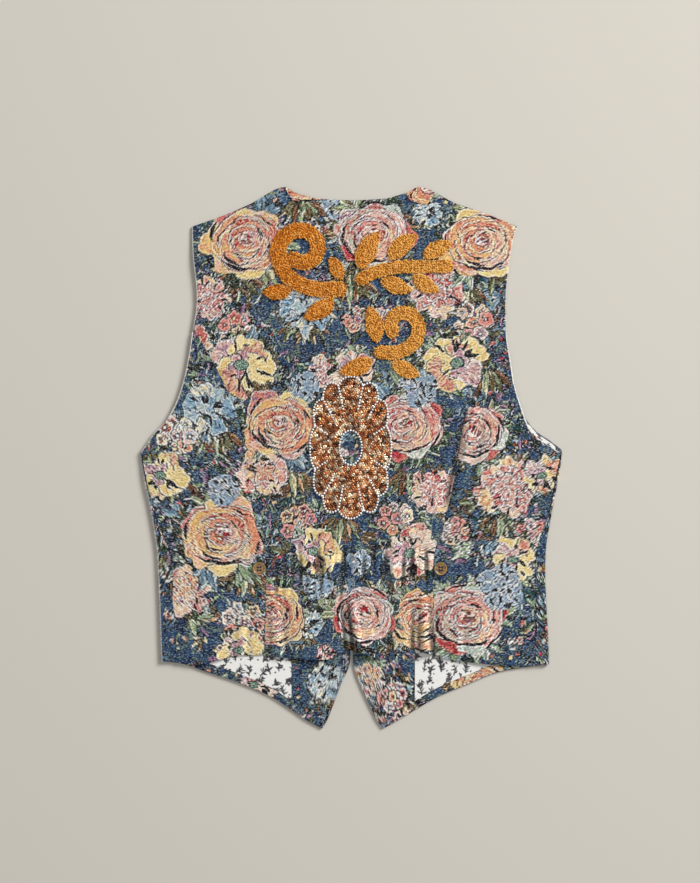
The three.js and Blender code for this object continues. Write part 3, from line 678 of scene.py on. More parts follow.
# %% Roses
# For each kind: dyes from dark to pale for the guard petals and for the cup, the thin line, and
# dark arcs. An arc has its share of the radius, its start and end in degrees, and its width in mm.
ROSES = {
    "cream": ([[PEACH, BUTTER, CREAM], [PINK, BLUSH, BUTTER], [BUTTER, LEMON, CREAM],
               [MAUVE, PINK, BLUSH]],
              [[ROSE, PINK, PEACH, CREAM], [PINK, PEACH, BUTTER, CREAM], [MAUVE, PINK, BLUSH, CREAM]],
              dye("6e3a4a"),
              [(0.45, 215, 262, 2.2), (0.60, 205, 262, 2.6), (0.78, 212, 300, 3.0),
               (0.86, 140, 178, 2.6), (0.93, 318, 346, 2.4), (0.99, 196, 222, 2.2),
               (0.80, 32, 62, 2.2), (0.40, 20, 50, 1.5)]),
    "pink": ([[CRIMSON, ROSE, PINK], [SAGE, MIST, WHITE], [ROSE, PINK, BLUSH], [MAUVE, BLUSH, WHITE],
              [PINK, BLUSH, MIST]],
             [[ROSE, PINK, BLUSH, WHITE], [CRIMSON, PINK, dye("c6c0b0"), MIST],
              [ROSE, PINK, BLUSH, CREAM]],
             dye("5e2234"),
             [(0.72, 148, 238, 2.6), (0.80, 236, 300, 3.0), (0.98, 284, 322, 2.4),
              (0.90, 70, 104, 2.2), (0.56, 190, 236, 1.8), (0.50, 20, 60, 1.6)]),
}


def luck_of(x, y, across, up, first):
    """A seed that follows from where a motif lies, and its random numbers."""
    seed = int(abs(x * across + y * up)) + first
    return seed, np.random.default_rng(seed)


def rose(picture, x, y, radius, turn, kind):
    """A full rose: broad guard petals, then a cup of petals round a small heart."""
    guard, cup, line, arcs = ROSES[kind]
    seed, rng = luck_of(x, y, 7, 13, 5)
    wreath(picture, x, y, radius * 1.05, seed)
    spot = Spot(picture, x, y, radius * 1.25, turn, 0.88)
    low = (spot.east - spot.north) / radius * 0.16
    for k in rng.permutation(8):
        heading = 2 * np.pi * k / 8 + rng.uniform(-0.2, 0.2)
        spot.petal(radius * rng.uniform(0.52, 0.66), heading, radius * rng.uniform(0.38, 0.48),
                   guard[k % len(guard)], line, seed + k,
                   ragged=0.16, shift=low + rng.uniform(-0.2, 0.15))
    for k, share in enumerate(np.linspace(0, 1, 10) ** 0.85):
        heading = 2.4 * k + rng.uniform(-0.4, 0.4)
        spot.petal(radius * 0.13 * (1 - 0.4 * share), heading, radius * (0.80 - 0.56 * share),
                   cup[k % len(cup)], line, seed + 9 + k,
                   ragged=0.06, shift=1.4 * low - 0.10 * share + rng.uniform(-0.25, 0.2), rim=1.9)
    heart = Spot(picture, x + radius * 0.03, y + radius * 0.08, radius * 0.3, turn, 0.88)
    size = radius * 0.2
    tone = streaks(heart.angle * 4, heart.r, seed, 3, 2) - 0.5 * smoothstep(-heart.v, 0, size * 0.5)
    heart.lay(size - heart.r, pick([MAUVE, TAN, BLUSH, WHITE], 0.4 + 0.7 * tone), CRIMSON, 0.35,
              heart.u, heart.v)
    for k in range(6):
        u, v = heart.u - rng.uniform(-0.7, 0.7) * size, heart.v - rng.uniform(-0.4, 0.8) * size
        tilt = rng.uniform(-0.8, 0.8)
        heart.lay(1.5 - np.hypot((u + tilt * v) * 0.42, v * 1.2), [CRIMSON, ROSE, MOSS][k % 3])
    r, a = np.hypot(spot.u, spot.v - radius * 0.03), np.arctan2(spot.v, spot.u)
    for reach, start, end, width in arcs:
        window = stretch_of(a, start, end)
        bend = radius * (reach + 0.05 * np.sin(2 * a + reach * 19))
        spot.line(np.abs(r - bend) + (1 - window) * width * 0.5 + (window == 0) * OFF, width)


print("rose kinds:", ", ".join(ROSES))


# %% Anemones, peonies and pansies
STRAW, IVORY, LILAC, JADE = threads("e8d29c efe2c0 bd9fae 6c8878")
ANEMONES = {
    "cream": ([BUTTER, STRAW, IVORY, CREAM], [MAUVE, PINK, BLUSH, STRAW]),
    "pink": ([PINK, BLUSH, WHITE, CREAM], [CRIMSON, ROSE, PINK, BLUSH]),
}


def anemone(picture, x, y, radius, turn, kind):
    """An open flower of uneven petals with a green eye to one side, drawn over with bold marks."""
    pale, warm = ANEMONES[kind]
    seed, rng = luck_of(x, y, 3, 11, 2)
    wreath(picture, x, y, radius, seed, 5)
    spot = Spot(picture, x, y, radius * 1.3, turn)
    looks = [pale, warm, pale, [MAUVE, LILAC, BLUSH, WHITE], pale, warm, pale]
    for k in rng.permutation(7):
        spot.petal(radius * rng.uniform(0.4, 0.62), 2 * np.pi * k / 7 + rng.uniform(-0.3, 0.3),
                   radius * rng.uniform(0.34, 0.56), looks[k], [INK, PLUM, INK][k % 3], seed + k,
                   radial=True, ragged=0.3, rim=2.2)
    spot.petal(radius * 0.1, 1.0, radius * 0.36, pale, PLUM, seed + 8, radial=True, ragged=0.3)
    spot.marks(7, radius * 0.3, radius * 0.75, radius * 0.42, 2.6, rng, 200, 340)
    spot.marks(6, radius * 0.3, radius * 0.7, radius * 0.3, 1.9, rng)
    for k in range(4):
        heading = math.radians(90 + 50 * k)
        spot.petal(radius * 0.32, heading, radius * 0.15, [ROSE, LILAC, BLUSH], INK,
                   seed + 20 + k, rim=1.2)
    from_eye = np.hypot(spot.u + radius * 0.1, spot.v * 1.3)
    spot.lay(radius * 0.25 - from_eye, INK)
    spot.lay(radius * 0.2 - from_eye, JADE, MIST, 0.9, spot.u * 2, spot.v)


PEONIES = {"pink": [CRIMSON, ROSE, PINK, BLUSH, WHITE], "peach": [ROSE, PINK, PEACH, CREAM, WHITE]}


def peony(picture, x, y, radius, turn, kind):
    """A ragged flower of toothed petals in strokes of pink and white."""
    outer = [[PINK, BLUSH, CREAM, WHITE], [ROSE, PINK, BLUSH, WHITE], [PINK, PEACH, CREAM, IVORY]]
    seed, rng = luck_of(x, y, 5, 3, 9)
    wreath(picture, x, y, radius, seed, 5)
    spot = Spot(picture, x, y, radius * 1.3, turn)
    for k in range(15):
        ring = radius * (0.62 if k < 8 else 0.34 if k < 13 else 0.08)
        heading = 2 * np.pi * (k / 8 if k < 8 else k / 5) + rng.uniform(-0.3, 0.3)
        spot.petal(ring, heading, radius * rng.uniform(0.28, 0.42),
                   outer[k % 3] if k < 8 else PEONIES[kind], [CRIMSON, ROSE, INK][k % 3], seed + k,
                   radial=True, ragged=0.36, shift=rng.uniform(-0.12, 0.1), rim=1.8)
    spot.marks(6, radius * 0.4, radius * 0.85, 9, 1.8, rng)


def pansy(picture, x, y, radius, turn, kind):
    """Small flowers with dark faces and pale rims, close together."""
    seed, rng = luck_of(x, y, 17, 1, 1)
    count = {"cluster": 8, "few": 3}[kind]
    near = Spot(picture, x, y, radius).near
    dabs(picture, near, 7, 0.8, 0.9, 0.3, [SAGE, MOSS, MIST, SHADE, INK, BROWN], seed)
    for k in range(count):
        heading = 2 * np.pi * k / (count - 1) + rng.uniform(-0.3, 0.3)
        away = radius * (0.64 if k else 0.05)
        size = radius * rng.uniform(0.26, 0.36)
        spot = Spot(picture, x + away * np.cos(heading), y + away * np.sin(heading), size * 1.6,
                    rng.uniform(0, 360))
        edge = size * (0.82 + 0.26 * np.abs(np.cos(2.5 * spot.angle)))
        outer = [CREAM, PEACH, BLUSH, PINK][rng.integers(4)]
        middle = [MAUVE, PINK, ROSE, SKY, PLUM][rng.integers(5)]
        tone = streaks(spot.angle * 5, spot.r, seed + k, 2, 2)
        spot.lay(edge - spot.r + 0.9, INK)
        spot.lay(edge - spot.r, outer, WHITE, 0.5, spot.angle * 4, spot.r)
        spot.lay(edge * 0.72 - spot.r, pick([INK, middle, middle, outer], tone), outer, 0.6,
                 spot.r * 2, spot.angle * 6)
        spot.lay(edge * 0.36 - spot.r, [PLUM, INK, NAVY][rng.integers(3)])
        spot.lay(edge * 0.18 - spot.r, [CREAM, WHITE, BUTTER][rng.integers(3)])


print("open flowers are ready")


# %% Blue flowers, hydrangeas and buds
PALE_BLUES = [dye("c2cad4"), MIST, WHITE, dye("abbecd"), dye("c0bccc"), SKY]
BLUE_PETALS = [[BLUE, STEEL, SKY, MIST], [STEEL, SKY, MIST, WHITE], [STEEL, SKY, CREAM, WHITE]]


def blue_flower(picture, x, y, radius, turn, kind):
    """A loose flower of pale blue petals with bold marks between them."""
    seed, rng = luck_of(x, y, 1, 19, 4)
    wreath(picture, x, y, radius, seed, 4)
    spot = Spot(picture, x, y, radius * 1.3, turn)
    for k in range(11):
        ring, size = (0.6, 0.34) if k < 7 else (0.26, 0.28)
        spot.petal(radius * ring, 2 * np.pi * k / 7 + rng.uniform(-0.2, 0.2),
                   radius * size * rng.uniform(0.8, 1.2), BLUE_PETALS[k % 3], SHADE, seed + k,
                   radial=True, ragged=0.4, rim=1.4)
    spot.marks(10, radius * 0.25, radius * 0.8, radius * 0.4, 2.4, rng)


def hydrangea(picture, x, y, radius, turn, kind):
    """A head of many small florets, with the dark between them."""
    seed, _ = luck_of(x, y, 2, 23, 8)
    spot = Spot(picture, x, y, radius * 1.2)
    head = radius * (0.8 + 0.5 * hills(spot.angle * 1.5 + 9, spot.r * 0, seed)) - spot.r
    spot.lay(head, dye("aab6c2"), STEEL, 0.8, spot.u, spot.v)
    near = spot.near[head > 0]
    dabs(picture, near, 6.5, 0.85, 0.62, 0.42, PALE_BLUES, seed, rim=0.15)
    dabs(picture, near, 7.5, 0.75, 0.6, 0.24, [INK, SHADE, INK, NAVY], seed + 3, rim=0)


def bud(picture, x, y, radius, turn, kind):
    """A closed bud: narrow brown and green blades that hang from one point, with dark gaps."""
    _, rng = luck_of(x, y, 5, 1, 6)
    looks = [(BROWN, OLIVE, PEACH), (INK, OLIVE, SAGE), (SHADE, BROWN, TAN), (MOSS, SAGE, CREAM)]
    for k in (0, 6, 1, 5, 2, 4, 3):
        heading = turn - 90 + (k - 3) * 17 + rng.uniform(-4, 4)
        foot = (k - 3) * radius * 0.1
        leaf(picture, x + foot, y + radius * 0.9, radius * rng.uniform(1.5, 1.9), radius * 0.42,
             heading, looks[k % 4], INK, [INK, None][k % 2])


# They are woven in this order, each over those before it. All take the same arguments, though
# some look alike at any turn or come in one kind only.
MOTIFS = dict(hydrangea=hydrangea, bud=bud, blue=blue_flower, pansy=pansy, peony=peony,
              anemone=anemone, rose=rose, head=hydrangea)
print("motifs:", ", ".join(MOTIFS))


# %% Ground and undergrowth
AREA_PER_SPRIG, AREA_PER_PANSIES = 2600, 12000


def ground(picture):
    """Slate blue in lighter and darker hatching, with leaves, dabs and florets scattered on it."""
    x, y, seed, rng = picture.x, picture.y, picture.seed, picture.rng
    turn = 9 * hills(x / 60, y / 60, seed + 2)
    along = x * np.cos(turn) + y * np.sin(turn)
    across = y * np.cos(turn) - x * np.sin(turn)
    tone = 0.45 * hills(x / 24, y / 24, seed) + 0.55 * streaks(along, across, seed + 3, 6, 2.2)
    picture.paint[:] = pick([NAVY, NAVY, BLUE, BLUE, STEEL], tone)
    picture.accent[:] = pick([SHADE, STEEL, NAVY, SAGE, PLUM], hills(x / 9, y / 9, seed + 5))
    everywhere = np.arange(len(x))
    leafy = smoothstep(hills(x / 34, y / 34, seed + 7), 0.36, 0.6)
    dabs(picture, everywhere, 13, 0.06 + 0.85 * leafy, 0.95, 0.24,
         [SAGE, MOSS, OLIVE, TEAL, MAUVE, BROWN, STEEL, INK], seed + 30, 0.6)
    dabs(picture, everywhere, 8, 0.04 + 0.7 * leafy, 0.9, 0.25,
         [SKY, SAGE, INK, PLUM, STEEL, MOSS, MAUVE, INK], seed + 50, 0.5)
    dabs(picture, everywhere, 9, 0.07 + 0.18 * leafy, 0.34, 0.26,
         [PEACH, PINK, MAUVE, ROSE, SKY, ROSE, BUTTER], seed + 70, 0.2)

    def anywhere():
        return rng.uniform(x.min(), x.max()), rng.uniform(y.min(), y.max())
    area = np.ptp(x) * np.ptp(y)
    for _ in range(int(area / AREA_PER_SPRIG)):
        sprig(picture, *anywhere(), rng.uniform(0, 360), rng.uniform(16, 32), any_leaf(rng), 3)
    for _ in range(int(area / AREA_PER_PANSIES)):
        pansy(picture, *anywhere(), rng.uniform(11, 16), 0, "few")
    dabs(picture, everywhere, 6, 0.05 + 0.25 * leafy, 0.95, 0.2,
         [INK, MIST, INK, INK, SAGE, INK], seed + 90, rim=0)


# %% Where the big flowers are woven
# panel, motif and kind, then x, y, radius in mm and turn in degrees of each flower
FLOWER_ROWS = """
    centre rose cream: -123 249 48 0, 150 248 47 20, -83 38 44 -20, -94 -182 41 -40
    centre rose cream: 80 -188 37 60
    centre rose pink: 24 257 45 0, 61 36 45 30, 13 -182 38 -30
    centre peony pink: -166 184 26 0, 97 195 33 30, 97 -38 28 80
    centre peony peach: -103 -16 29 50
    centre peony pink: -33 100 19 0, -30 -226 10 0
    centre anemone cream: -124 107 37 0, 119 110 37 180, -42 -108 29 0
    centre anemone pink: 70 -108 31 40, -182 132 20 0, 4 98 29 0
    centre pansy cluster: 6 161 17 0, 36 160 15 0, -133 146 25 0, 140 157 25 0, -62 -75 23 0
    centre pansy cluster: 51 -70 22 0
    centre blue one: -166 55 33 0, -53 173 31 20, 88 283 17 0, -50 -190 17 0
    centre hydrangea one: -13 291 20 0, -40 -145 16 0, 10 -120 13 0
    centre head one: 78 80 19 0, -54 83 16 0
    centre bud one: -130 196 20 0, -58 282 18 0, 47 268 19 0, 52 -214 16 0, -64 -213 16 0
    centre bud one: -2 192 20 0, -54 145 19 0, 132 183 18 0, -68 -33 19 0, 66 -33 18 0
    centre bud one: -13 -85 18 0
    left rose cream: -150 -91 50 10
    left peony peach: -192 -153 30 0, -103 -16 29 50
    left anemone cream: -218 -20 28 0, -128 -222 26 0
    left pansy cluster: -203 26 25 0, -125 -190 27 0
    left blue one: -166 55 33 0
    left head one: -148 -36 17 0
    left bud one: -157 16 20 0, -124 -147 20 0
    right rose pink: 142 28 38 80, 133 -187 46 15
    right peony pink: 180 -33 38 10
    right anemone cream: 190 -117 27 0, 222 -20 22 0
    right pansy cluster: 207 -89 20 0, 120 -84 18 0
    right head one: 172 -147 25 0
    right bud one: 156 84 19 0, 172 -84 18 0
    tip rose cream: 150 -262 33 0
    tip peony peach: 62 -303 13 0
    tip anemone pink: -110 -262 26 0
    tip pansy cluster: 20 -258 21 0, 47 -276 19 0
    tip blue one: -30 -260 23 0
    tip bud one: -12 -285 18 0
"""
FLOWERS = [(*names.split(), *map(float, place.split()))
           for names, places in (line.split(":") for line in FLOWER_ROWS.strip().splitlines())
           for place in places.split(",")]


def weave(x, y, panel, seed):
    """The picture woven on a panel, at the points x, y of its cloth."""
    picture = Picture(x, y, seed)
    ground(picture)
    flowers = [row for row in FLOWERS if row[0] == panel]
    flowers.sort(key=lambda row: list(MOTIFS).index(row[1]))
    for _, motif, kind, fx, fy, radius, turn in flowers:
        MOTIFS[motif](picture, fx, fy, radius, turn, kind)
    return picture


print("big flowers:", len(FLOWERS))

# %% [markdown]
# ## Writing materials as sums
#
# A material is a tree of nodes, and most of its nodes are arithmetic. Each could be added and
# linked by hand, but a small class lets Python's own operators add them, so that a formula
# in the script reads like a formula. Colours are mixed with Mix nodes.

# %% A number or colour that varies over a surface
class Amount:
    """The output of a node, with Python's operators for the sums that follow from it."""

    def __init__(self, finish, socket):
        self.finish, self.socket = finish, socket

    def sum(self, operation, *others):
        return self.finish.maths(operation, self, *others)

    def __add__(self, other):
        return self.sum("ADD", other)

    def __radd__(self, other):
        return self.finish.maths("ADD", other, self)

    def __sub__(self, other):
        return self.sum("SUBTRACT", other)

    def __rsub__(self, other):
        return self.finish.maths("SUBTRACT", other, self)

    def __mul__(self, other):
        return self.sum("MULTIPLY", other)

    def __truediv__(self, other):
        return self.sum("DIVIDE", other)

    def ramp(self, start, end):
        """0 below start, 1 above end, and smooth between them."""
        return self.finish.node("ShaderNodeMapRange", {"interpolation_type": "SMOOTHSTEP"},
                                self, start, end, 0.0, 1.0)


class Finish:
    """A material, with its nodes added one at a time."""

    def __init__(self, name):
        self.material = bpy.data.materials.new(name)
        self.material.use_nodes = True
        self.tree = self.material.node_tree
        self.tree.nodes.clear()
        self.output = self.tree.nodes.new("ShaderNodeOutputMaterial")

    def feed(self, socket, value):
        if isinstance(value, Amount):
            self.tree.links.new(value.socket, socket)
        elif value is not None:
            socket.default_value = value

    def node(self, kind, settings, *inputs, out=0, **named):
        """Adds a node with its settings and inputs, and gives one of its outputs."""
        node = self.tree.nodes.new(kind)
        for key, value in settings.items():
            setattr(node, key, value)
        for socket, value in zip([s for s in node.inputs if s.enabled], inputs):
            self.feed(socket, value)
        for key, value in named.items():
            self.feed(node.inputs[key.replace("_", " ")], value)
        return Amount(self, node.outputs[out])

    def maths(self, operation, *inputs):
        return self.node("ShaderNodeMath", {"operation": operation}, *inputs)

    def attribute(self, name, out="Color"):
        return self.node("ShaderNodeAttribute", {"attribute_name": name}, out=out)

    def scaled(self, vector, factors):
        return self.node("ShaderNodeVectorMath", {"operation": "MULTIPLY"}, vector, factors)

    def place(self, upward=1000):
        """Place on the object in mm. With upward 0, points above each other count as one."""
        return self.scaled(self.node("ShaderNodeTexCoord", {}, out="Object"), (1000, 1000, upward))

    def split(self, vector):
        node = self.node("ShaderNodeSeparateXYZ", {}, vector).socket.node
        return [Amount(self, socket) for socket in node.outputs]

    def join(self, x, y, z=0.0):
        return self.node("ShaderNodeCombineXYZ", {}, x, y, z)

    def noise(self, vector, detail):
        return self.node("ShaderNodeTexNoise", {"noise_dimensions": "3D"}, Vector=vector, Scale=1.0,
                         Detail=detail)

    def ribs(self, direction, vector, scale, distortion, **named):
        """Soft stripes across a direction."""
        settings = {"wave_type": "BANDS", "bands_direction": direction}
        return self.node("ShaderNodeTexWave", settings, Vector=vector, Scale=scale,
                         Distortion=distortion, **named)

    def mix(self, first, second, amount):
        """A colour from the first to the second."""
        node = self.tree.nodes.new("ShaderNodeMix")
        node.data_type, node.blend_type, node.clamp_factor = "RGBA", "MIX", True
        factor, colour_a, colour_b, colour_out = 0, 6, 7, 2
        self.feed(node.inputs[factor], amount)
        self.feed(node.inputs[colour_a], first)
        self.feed(node.inputs[colour_b], second)
        return Amount(self, node.outputs[colour_out])

    def bump(self, height, strength, distance):
        return self.node("ShaderNodeBump", {}, Strength=strength, Distance=distance, Height=height)

    def surface(self, **sockets):
        shader = self.node("ShaderNodeBsdfPrincipled", {}, **sockets)
        self.tree.links.new(shader.socket, self.output.inputs["Surface"])
        return self.material


def linear(colour):
    """Screen colours as the light that a material gives back."""
    return np.where(colour <= 0.04045, colour / 12.92, ((colour + 0.055) / 1.055) ** 2.4)


def shade(text):
    return (*linear(dye(text)), 1.0)


def dress(piece, material, slot, *nodes):
    """Gives a finished piece its material, and puts it in the place of its nodes."""
    piece.data.materials.clear()
    piece.data.materials.append(material)
    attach(piece, "root")
    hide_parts(*nodes)
    return piece


print("node sums are ready")

# %% [markdown]
# ## Jacquard cloth
#
# Real jacquard is a fine weave of hard, slightly glossy threads that changes colour stitch by
# stitch. The picture on the points says which threads meet where. The material lays stitches
# along the drawn direction by stretching noise along it, cuts the outlines against finer
# noise so that they end in stitches too, and raises a fine twill with a bump.

# %% The jacquard material
def jacquard_material():
    cloth = Finish("flower_jacquard")
    paint, ink = cloth.attribute("paint"), cloth.attribute("paint", "Alpha")
    accent, contrast = cloth.attribute("accent"), cloth.attribute("accent", "Alpha")
    along, across, _ = cloth.split(cloth.attribute("grain", "Vector"))
    x, y, _ = cloth.split(cloth.place(upward=0))

    long_stitch = cloth.noise(cloth.join(along / 4.2, across / 1.7), detail=2)
    colour = cloth.mix(paint, accent, long_stitch.ramp(0.50, 0.57) * contrast)
    edge = cloth.noise(cloth.join(x / 0.8, y / 0.8, 5.0), detail=1)
    line = (ink + (edge - 0.5) * 0.6).ramp(0.24, 0.40)
    tinge = cloth.noise(cloth.join(x / 5, y / 5, 3.0), detail=2)
    dark = cloth.mix(shade("040817"), shade("16050a"), tinge.ramp(0.42, 0.58))
    colour = cloth.mix(colour, dark, line)
    fleck = cloth.noise(cloth.join(x / 2.6, y / 1.5, 9.0), detail=3)
    colour = cloth.mix(colour, shade("fffaf0"), fleck.ramp(0.55, 0.66) * 0.30)
    colour = cloth.mix(colour, dark, fleck.ramp(0.46, 0.35) * 0.5)

    twill = cloth.ribs("DIAGONAL", cloth.join(x, y), 0.62, 0.6, Detail=1.0)
    rib = cloth.ribs("Y", cloth.join(x * 0.35, y), 0.23, 1.6, Detail=2.0)
    crinkle = cloth.noise(cloth.join(x / 7, y / 1.6, 2.0), detail=3)
    height = twill * 0.30 + rib * 0.35 + crinkle * 0.9 + fleck * 0.4
    return cloth.surface(
        Base_Color=colour, Roughness=0.78 - fleck * 0.12, Normal=cloth.bump(height, 0.8, 0.0006),
        Specular_IOR_Level=0.2)


JACQUARD = jacquard_material()
print("jacquard nodes:", len(JACQUARD.node_tree.nodes))

# %% [markdown]
# ## The back
#
# The back is cut in three: a centre panel, and a side panel beyond each princess seam, which
# runs from the armhole to the hem. Each is laid between its edges, and the cloth dips a
# little at each edge, where it is turned in and sewn.

# %% Painting a cloth
WRONG_SIDE, PLAIN_ACCENT, PALE_EDGE = threads("767c86 a4a7a6 ebe7df")
EDGE_WIDTH = 1.3
# How far light and dark are set apart and round which grey, and how much colour there is.
VIVID, VIVID_MIDDLE, RICH = 1.4, 0.615, 1.52
# How far a point is set off from its neighbours if it is lighter than they are, or darker.
CRISP, CRISP_LIGHT, CRISP_DARK = 2.2, 0.55, 1.15
# Painted shade and light from the folds: how much darker the cloth is painted for each mm that
# it lies low, and the least and most of it; the least is below 0, painted lighter on a fold.
HOLLOW_SHADE, HOLLOW_LEAST, HOLLOW_MOST = 0.34, -0.10, 0.5
# How deep and how wide the dip at a side and at an end is, in mm.
SIDE_DIP, END_DIP = (0.7, 1.6), (0.5, 1.8)


def crisp(dyes, across, up):
    """The dyes with each point's lightness set off from its neighbours on the slab's grid."""
    columns, rows = (np.unique(np.round(part, 5), return_inverse=True)[1] for part in (across, up))
    grid = np.zeros((columns.max() + 3, rows.max() + 3, 3))
    grid[columns + 1, rows + 1] = dyes
    grid[0], grid[-1], grid[:, 0], grid[:, -1] = grid[1], grid[-2], grid[:, 1], grid[:, -2]
    around = (grid[:-2, 1:-1] + grid[2:, 1:-1] + grid[1:-1, :-2] + grid[1:-1, 2:]) / 4
    off = (dyes - around[columns, rows]).mean(1, keepdims=True)
    return dyes + CRISP * np.where(off > 0, CRISP_LIGHT, CRISP_DARK) * off


def vivid(dyes):
    """The dyes with more contrast between light and dark, and more colour."""
    grey = dyes.mean(1, keepdims=True)
    return np.clip(0.5 + VIVID * (grey - VIVID_MIDDLE) + RICH * (dyes - grey), 0.03, 1)


def keep_picture(piece, paint, ink, accent, contrast):
    """Stores dyes and strengths where the material reads them."""
    remember(piece, "paint", np.column_stack([linear(paint), ink]))
    remember(piece, "accent", np.column_stack([linear(accent), contrast]))


def finish_cloth(cloth, material, slot):
    """Smooths a cloth, and puts it in the place of the node that it is named after."""
    smooth(cloth)
    return dress(cloth, material, slot, cloth.name.removesuffix("_cloth"))


def colour_cloth(piece, across, up, x, y, shown, panel, seed, dim=0.0, pale=0.0):
    """Weaves the picture on the points that show, with plain threads on the others.

    dim is painted shade that darkens the cloth where it lies low between folds, and below 0 it
    is painted light on a fold; pale is 1 on a worn light edge."""
    count = len(x)
    paint, accent = (np.tile(colour, (count, 1)) for colour in (WRONG_SIDE, PLAIN_ACCENT))
    ink, contrast = np.zeros(count), np.full(count, 0.5)
    grain = np.stack([x, y, 0 * x], 1)
    k = np.flatnonzero(shown)
    picture = weave(x[k], y[k], panel, seed)
    woven = crisp(blend(picture.paint, INK, picture.ink), across[k], up[k])
    paint[k], accent[k] = woven, picture.accent
    ink[k], contrast[k] = picture.ink, picture.contrast
    grain[k, :2] = picture.grain
    # Painted shade and light: dim darkens the cloth in fold hollows and, below 0, lightens it on folds.
    dim, pale = (np.broadcast_to(part, count)[:, None] for part in (dim, pale))
    paint, accent = (lerp(vivid(dyes) * (1 - dim), PALE_EDGE, pale) for dyes in (paint, accent))
    plain = 1 - pale[:, 0]
    keep_picture(piece, paint, ink * plain, accent, contrast * plain)
    remember(piece, "grain", grain)
    return finish_cloth(piece, JACQUARD, "jacquard")


def fold_shade(x, y):
    """How much darker painted shade makes the cloth where it lies low between two folds, and how much
    lighter painted light makes it on a fold.
    """
    return np.clip(HOLLOW_SHADE * hollow(x, y), HOLLOW_LEAST, HOLLOW_MOST)


def edge_dip(across, up, width, height):
    """How far the cloth dips near its rim, in mm."""
    to_side = np.minimum(across, 1 - across) * width
    to_end = np.minimum(up, 1 - up) * height
    dips = ((to_side, *SIDE_DIP), (to_end, *END_DIP))
    return sum(deep * np.exp(-(away / wide) ** 2) for away, deep, wide in dips)


def panel_place(left, right, bottom, top, foot, head, width, length):
    """The place of a back point between two sides (x at y), a hem and a top (y at x).

    foot and head are the hem's and the top's end points in x."""
    (foot_left, foot_right), (head_left, head_right) = foot, head
    ends = [bottom(np.array([foot_left]))[0], top(np.array([head_left]))[0],
            bottom(np.array([foot_right]))[0], top(np.array([head_right]))[0]]

    def place(across, up, layer):
        y_left, y_right = lerp(ends[0], ends[1], up), lerp(ends[2], ends[3], up)
        x = lerp(left(y_left), right(y_right), across)
        foot_y = bottom(lerp(foot_left, foot_right, across))
        y = lerp(foot_y, top(lerp(head_left, head_right, across)), up)
        z = back_height(x, y) + CLOTH * layer - edge_dip(across, up, width, length) * layer
        return x, y, z
    return place


print("panels can be placed and painted")


# %% Centre panel
def centre_edge(side):
    inset = -SIDES[side] * GAP / 2
    return lambda y: np.where(y < PRINCESS_TOP_Y - 1, PRINCESS[side](y), BACK_ARMHOLE[side](y)) + inset


def back_centre():
    cloth = slab("back_centre_cloth", 64, 92, upper_cuts=3)
    place = panel_place(centre_edge("left"), centre_edge("right"), BACK_HEM["centre"], TOP_EDGE,
                        tuple(HEM_FOOT_X.values()),
                        (SHOULDERS["left"][0][0], SHOULDERS["right"][-1][0]), 250, 500)
    across, up, layer, x, y = lay(cloth, place)
    to_armhole = np.minimum(*(np.abs(x - BACK_ARMHOLE[side](y)) for side in SIDES))
    at_edge = (to_armhole < EDGE_WIDTH) & (y > PRINCESS_TOP_Y)
    # fold_shade paints shade into the hollows between folds and light onto the folds.
    return colour_cloth(cloth, across, up, x, y, layer > 0.5, "centre", 11, fold_shade(x, y),
                        at_edge)


centre_cloth = back_centre()
print("centre panel:", len(centre_cloth.data.vertices), "points")


# %% Side panels
SIDE_TOP_Y = PRINCESS_TOP_Y - 2


def side_outer(side):
    sign = SIDES[side]

    def x_at(y):
        shown = sign * (SIDE_FOLD[side](y) - SIDE_SEAM[side](y))
        room = GAP / 2 + ROLL_ROOM * np.clip(ROLL + 1 - shown, 0, 1)
        return np.where(y > PIT_Y, BACK_ARMHOLE[side](y), SIDE_SEAM[side](y) - sign * room)
    return x_at


def back_side(side):
    sign = SIDES[side]
    cloth = slab(f"back_side_{side}_cloth", 16, 62, upper_cuts=3)
    outer = side_outer(side)
    foot_out = float(outer(np.array([FOOT_Y[side]]))[0])
    place = panel_place(lambda y: PRINCESS[side](y) + sign * GAP / 2, outer,
                        BACK_HEM[side], lambda x: np.full_like(x, SIDE_TOP_Y),
                        (HEM_FOOT_X[side], foot_out), (0, 1), 100, 380)
    across, up, layer, x, y = lay(cloth, place)
    at_edge = (np.abs(x - BACK_ARMHOLE[side](y)) < EDGE_WIDTH) & (y > PIT_Y)
    # fold_shade paints shade into the hollows between folds and light onto the folds.
    return colour_cloth(cloth, across, up, x, y, layer > 0.5, side, 12 + sign,
                        fold_shade(x, y), at_edge)


side_cloths = {side: back_side(side) for side in SIDES}
print("side panels:", [len(cloth.data.vertices) for cloth in side_cloths.values()], "points")

# %% [markdown]
# ## The fronts
#
# A front lies flat on the table with its outer side down. At the side it rolls over, so a
# strip of it comes to lie on the upper face, beside the side seam. One slab makes it all:
# its columns run over the flat part, then round the roll, then along the strip. The picture
# is painted in the cloth's own lengths, so that it isn't stretched round the roll.

# %% Front panels
FLAT_CELLS, ROLL_CELLS, STRIP_CELLS, FRONT_ROWS = 92, 9, 8, 200
FRONT_CELLS = FLAT_CELLS + ROLL_CELLS + STRIP_CELLS
ROLL_END_Y = 3


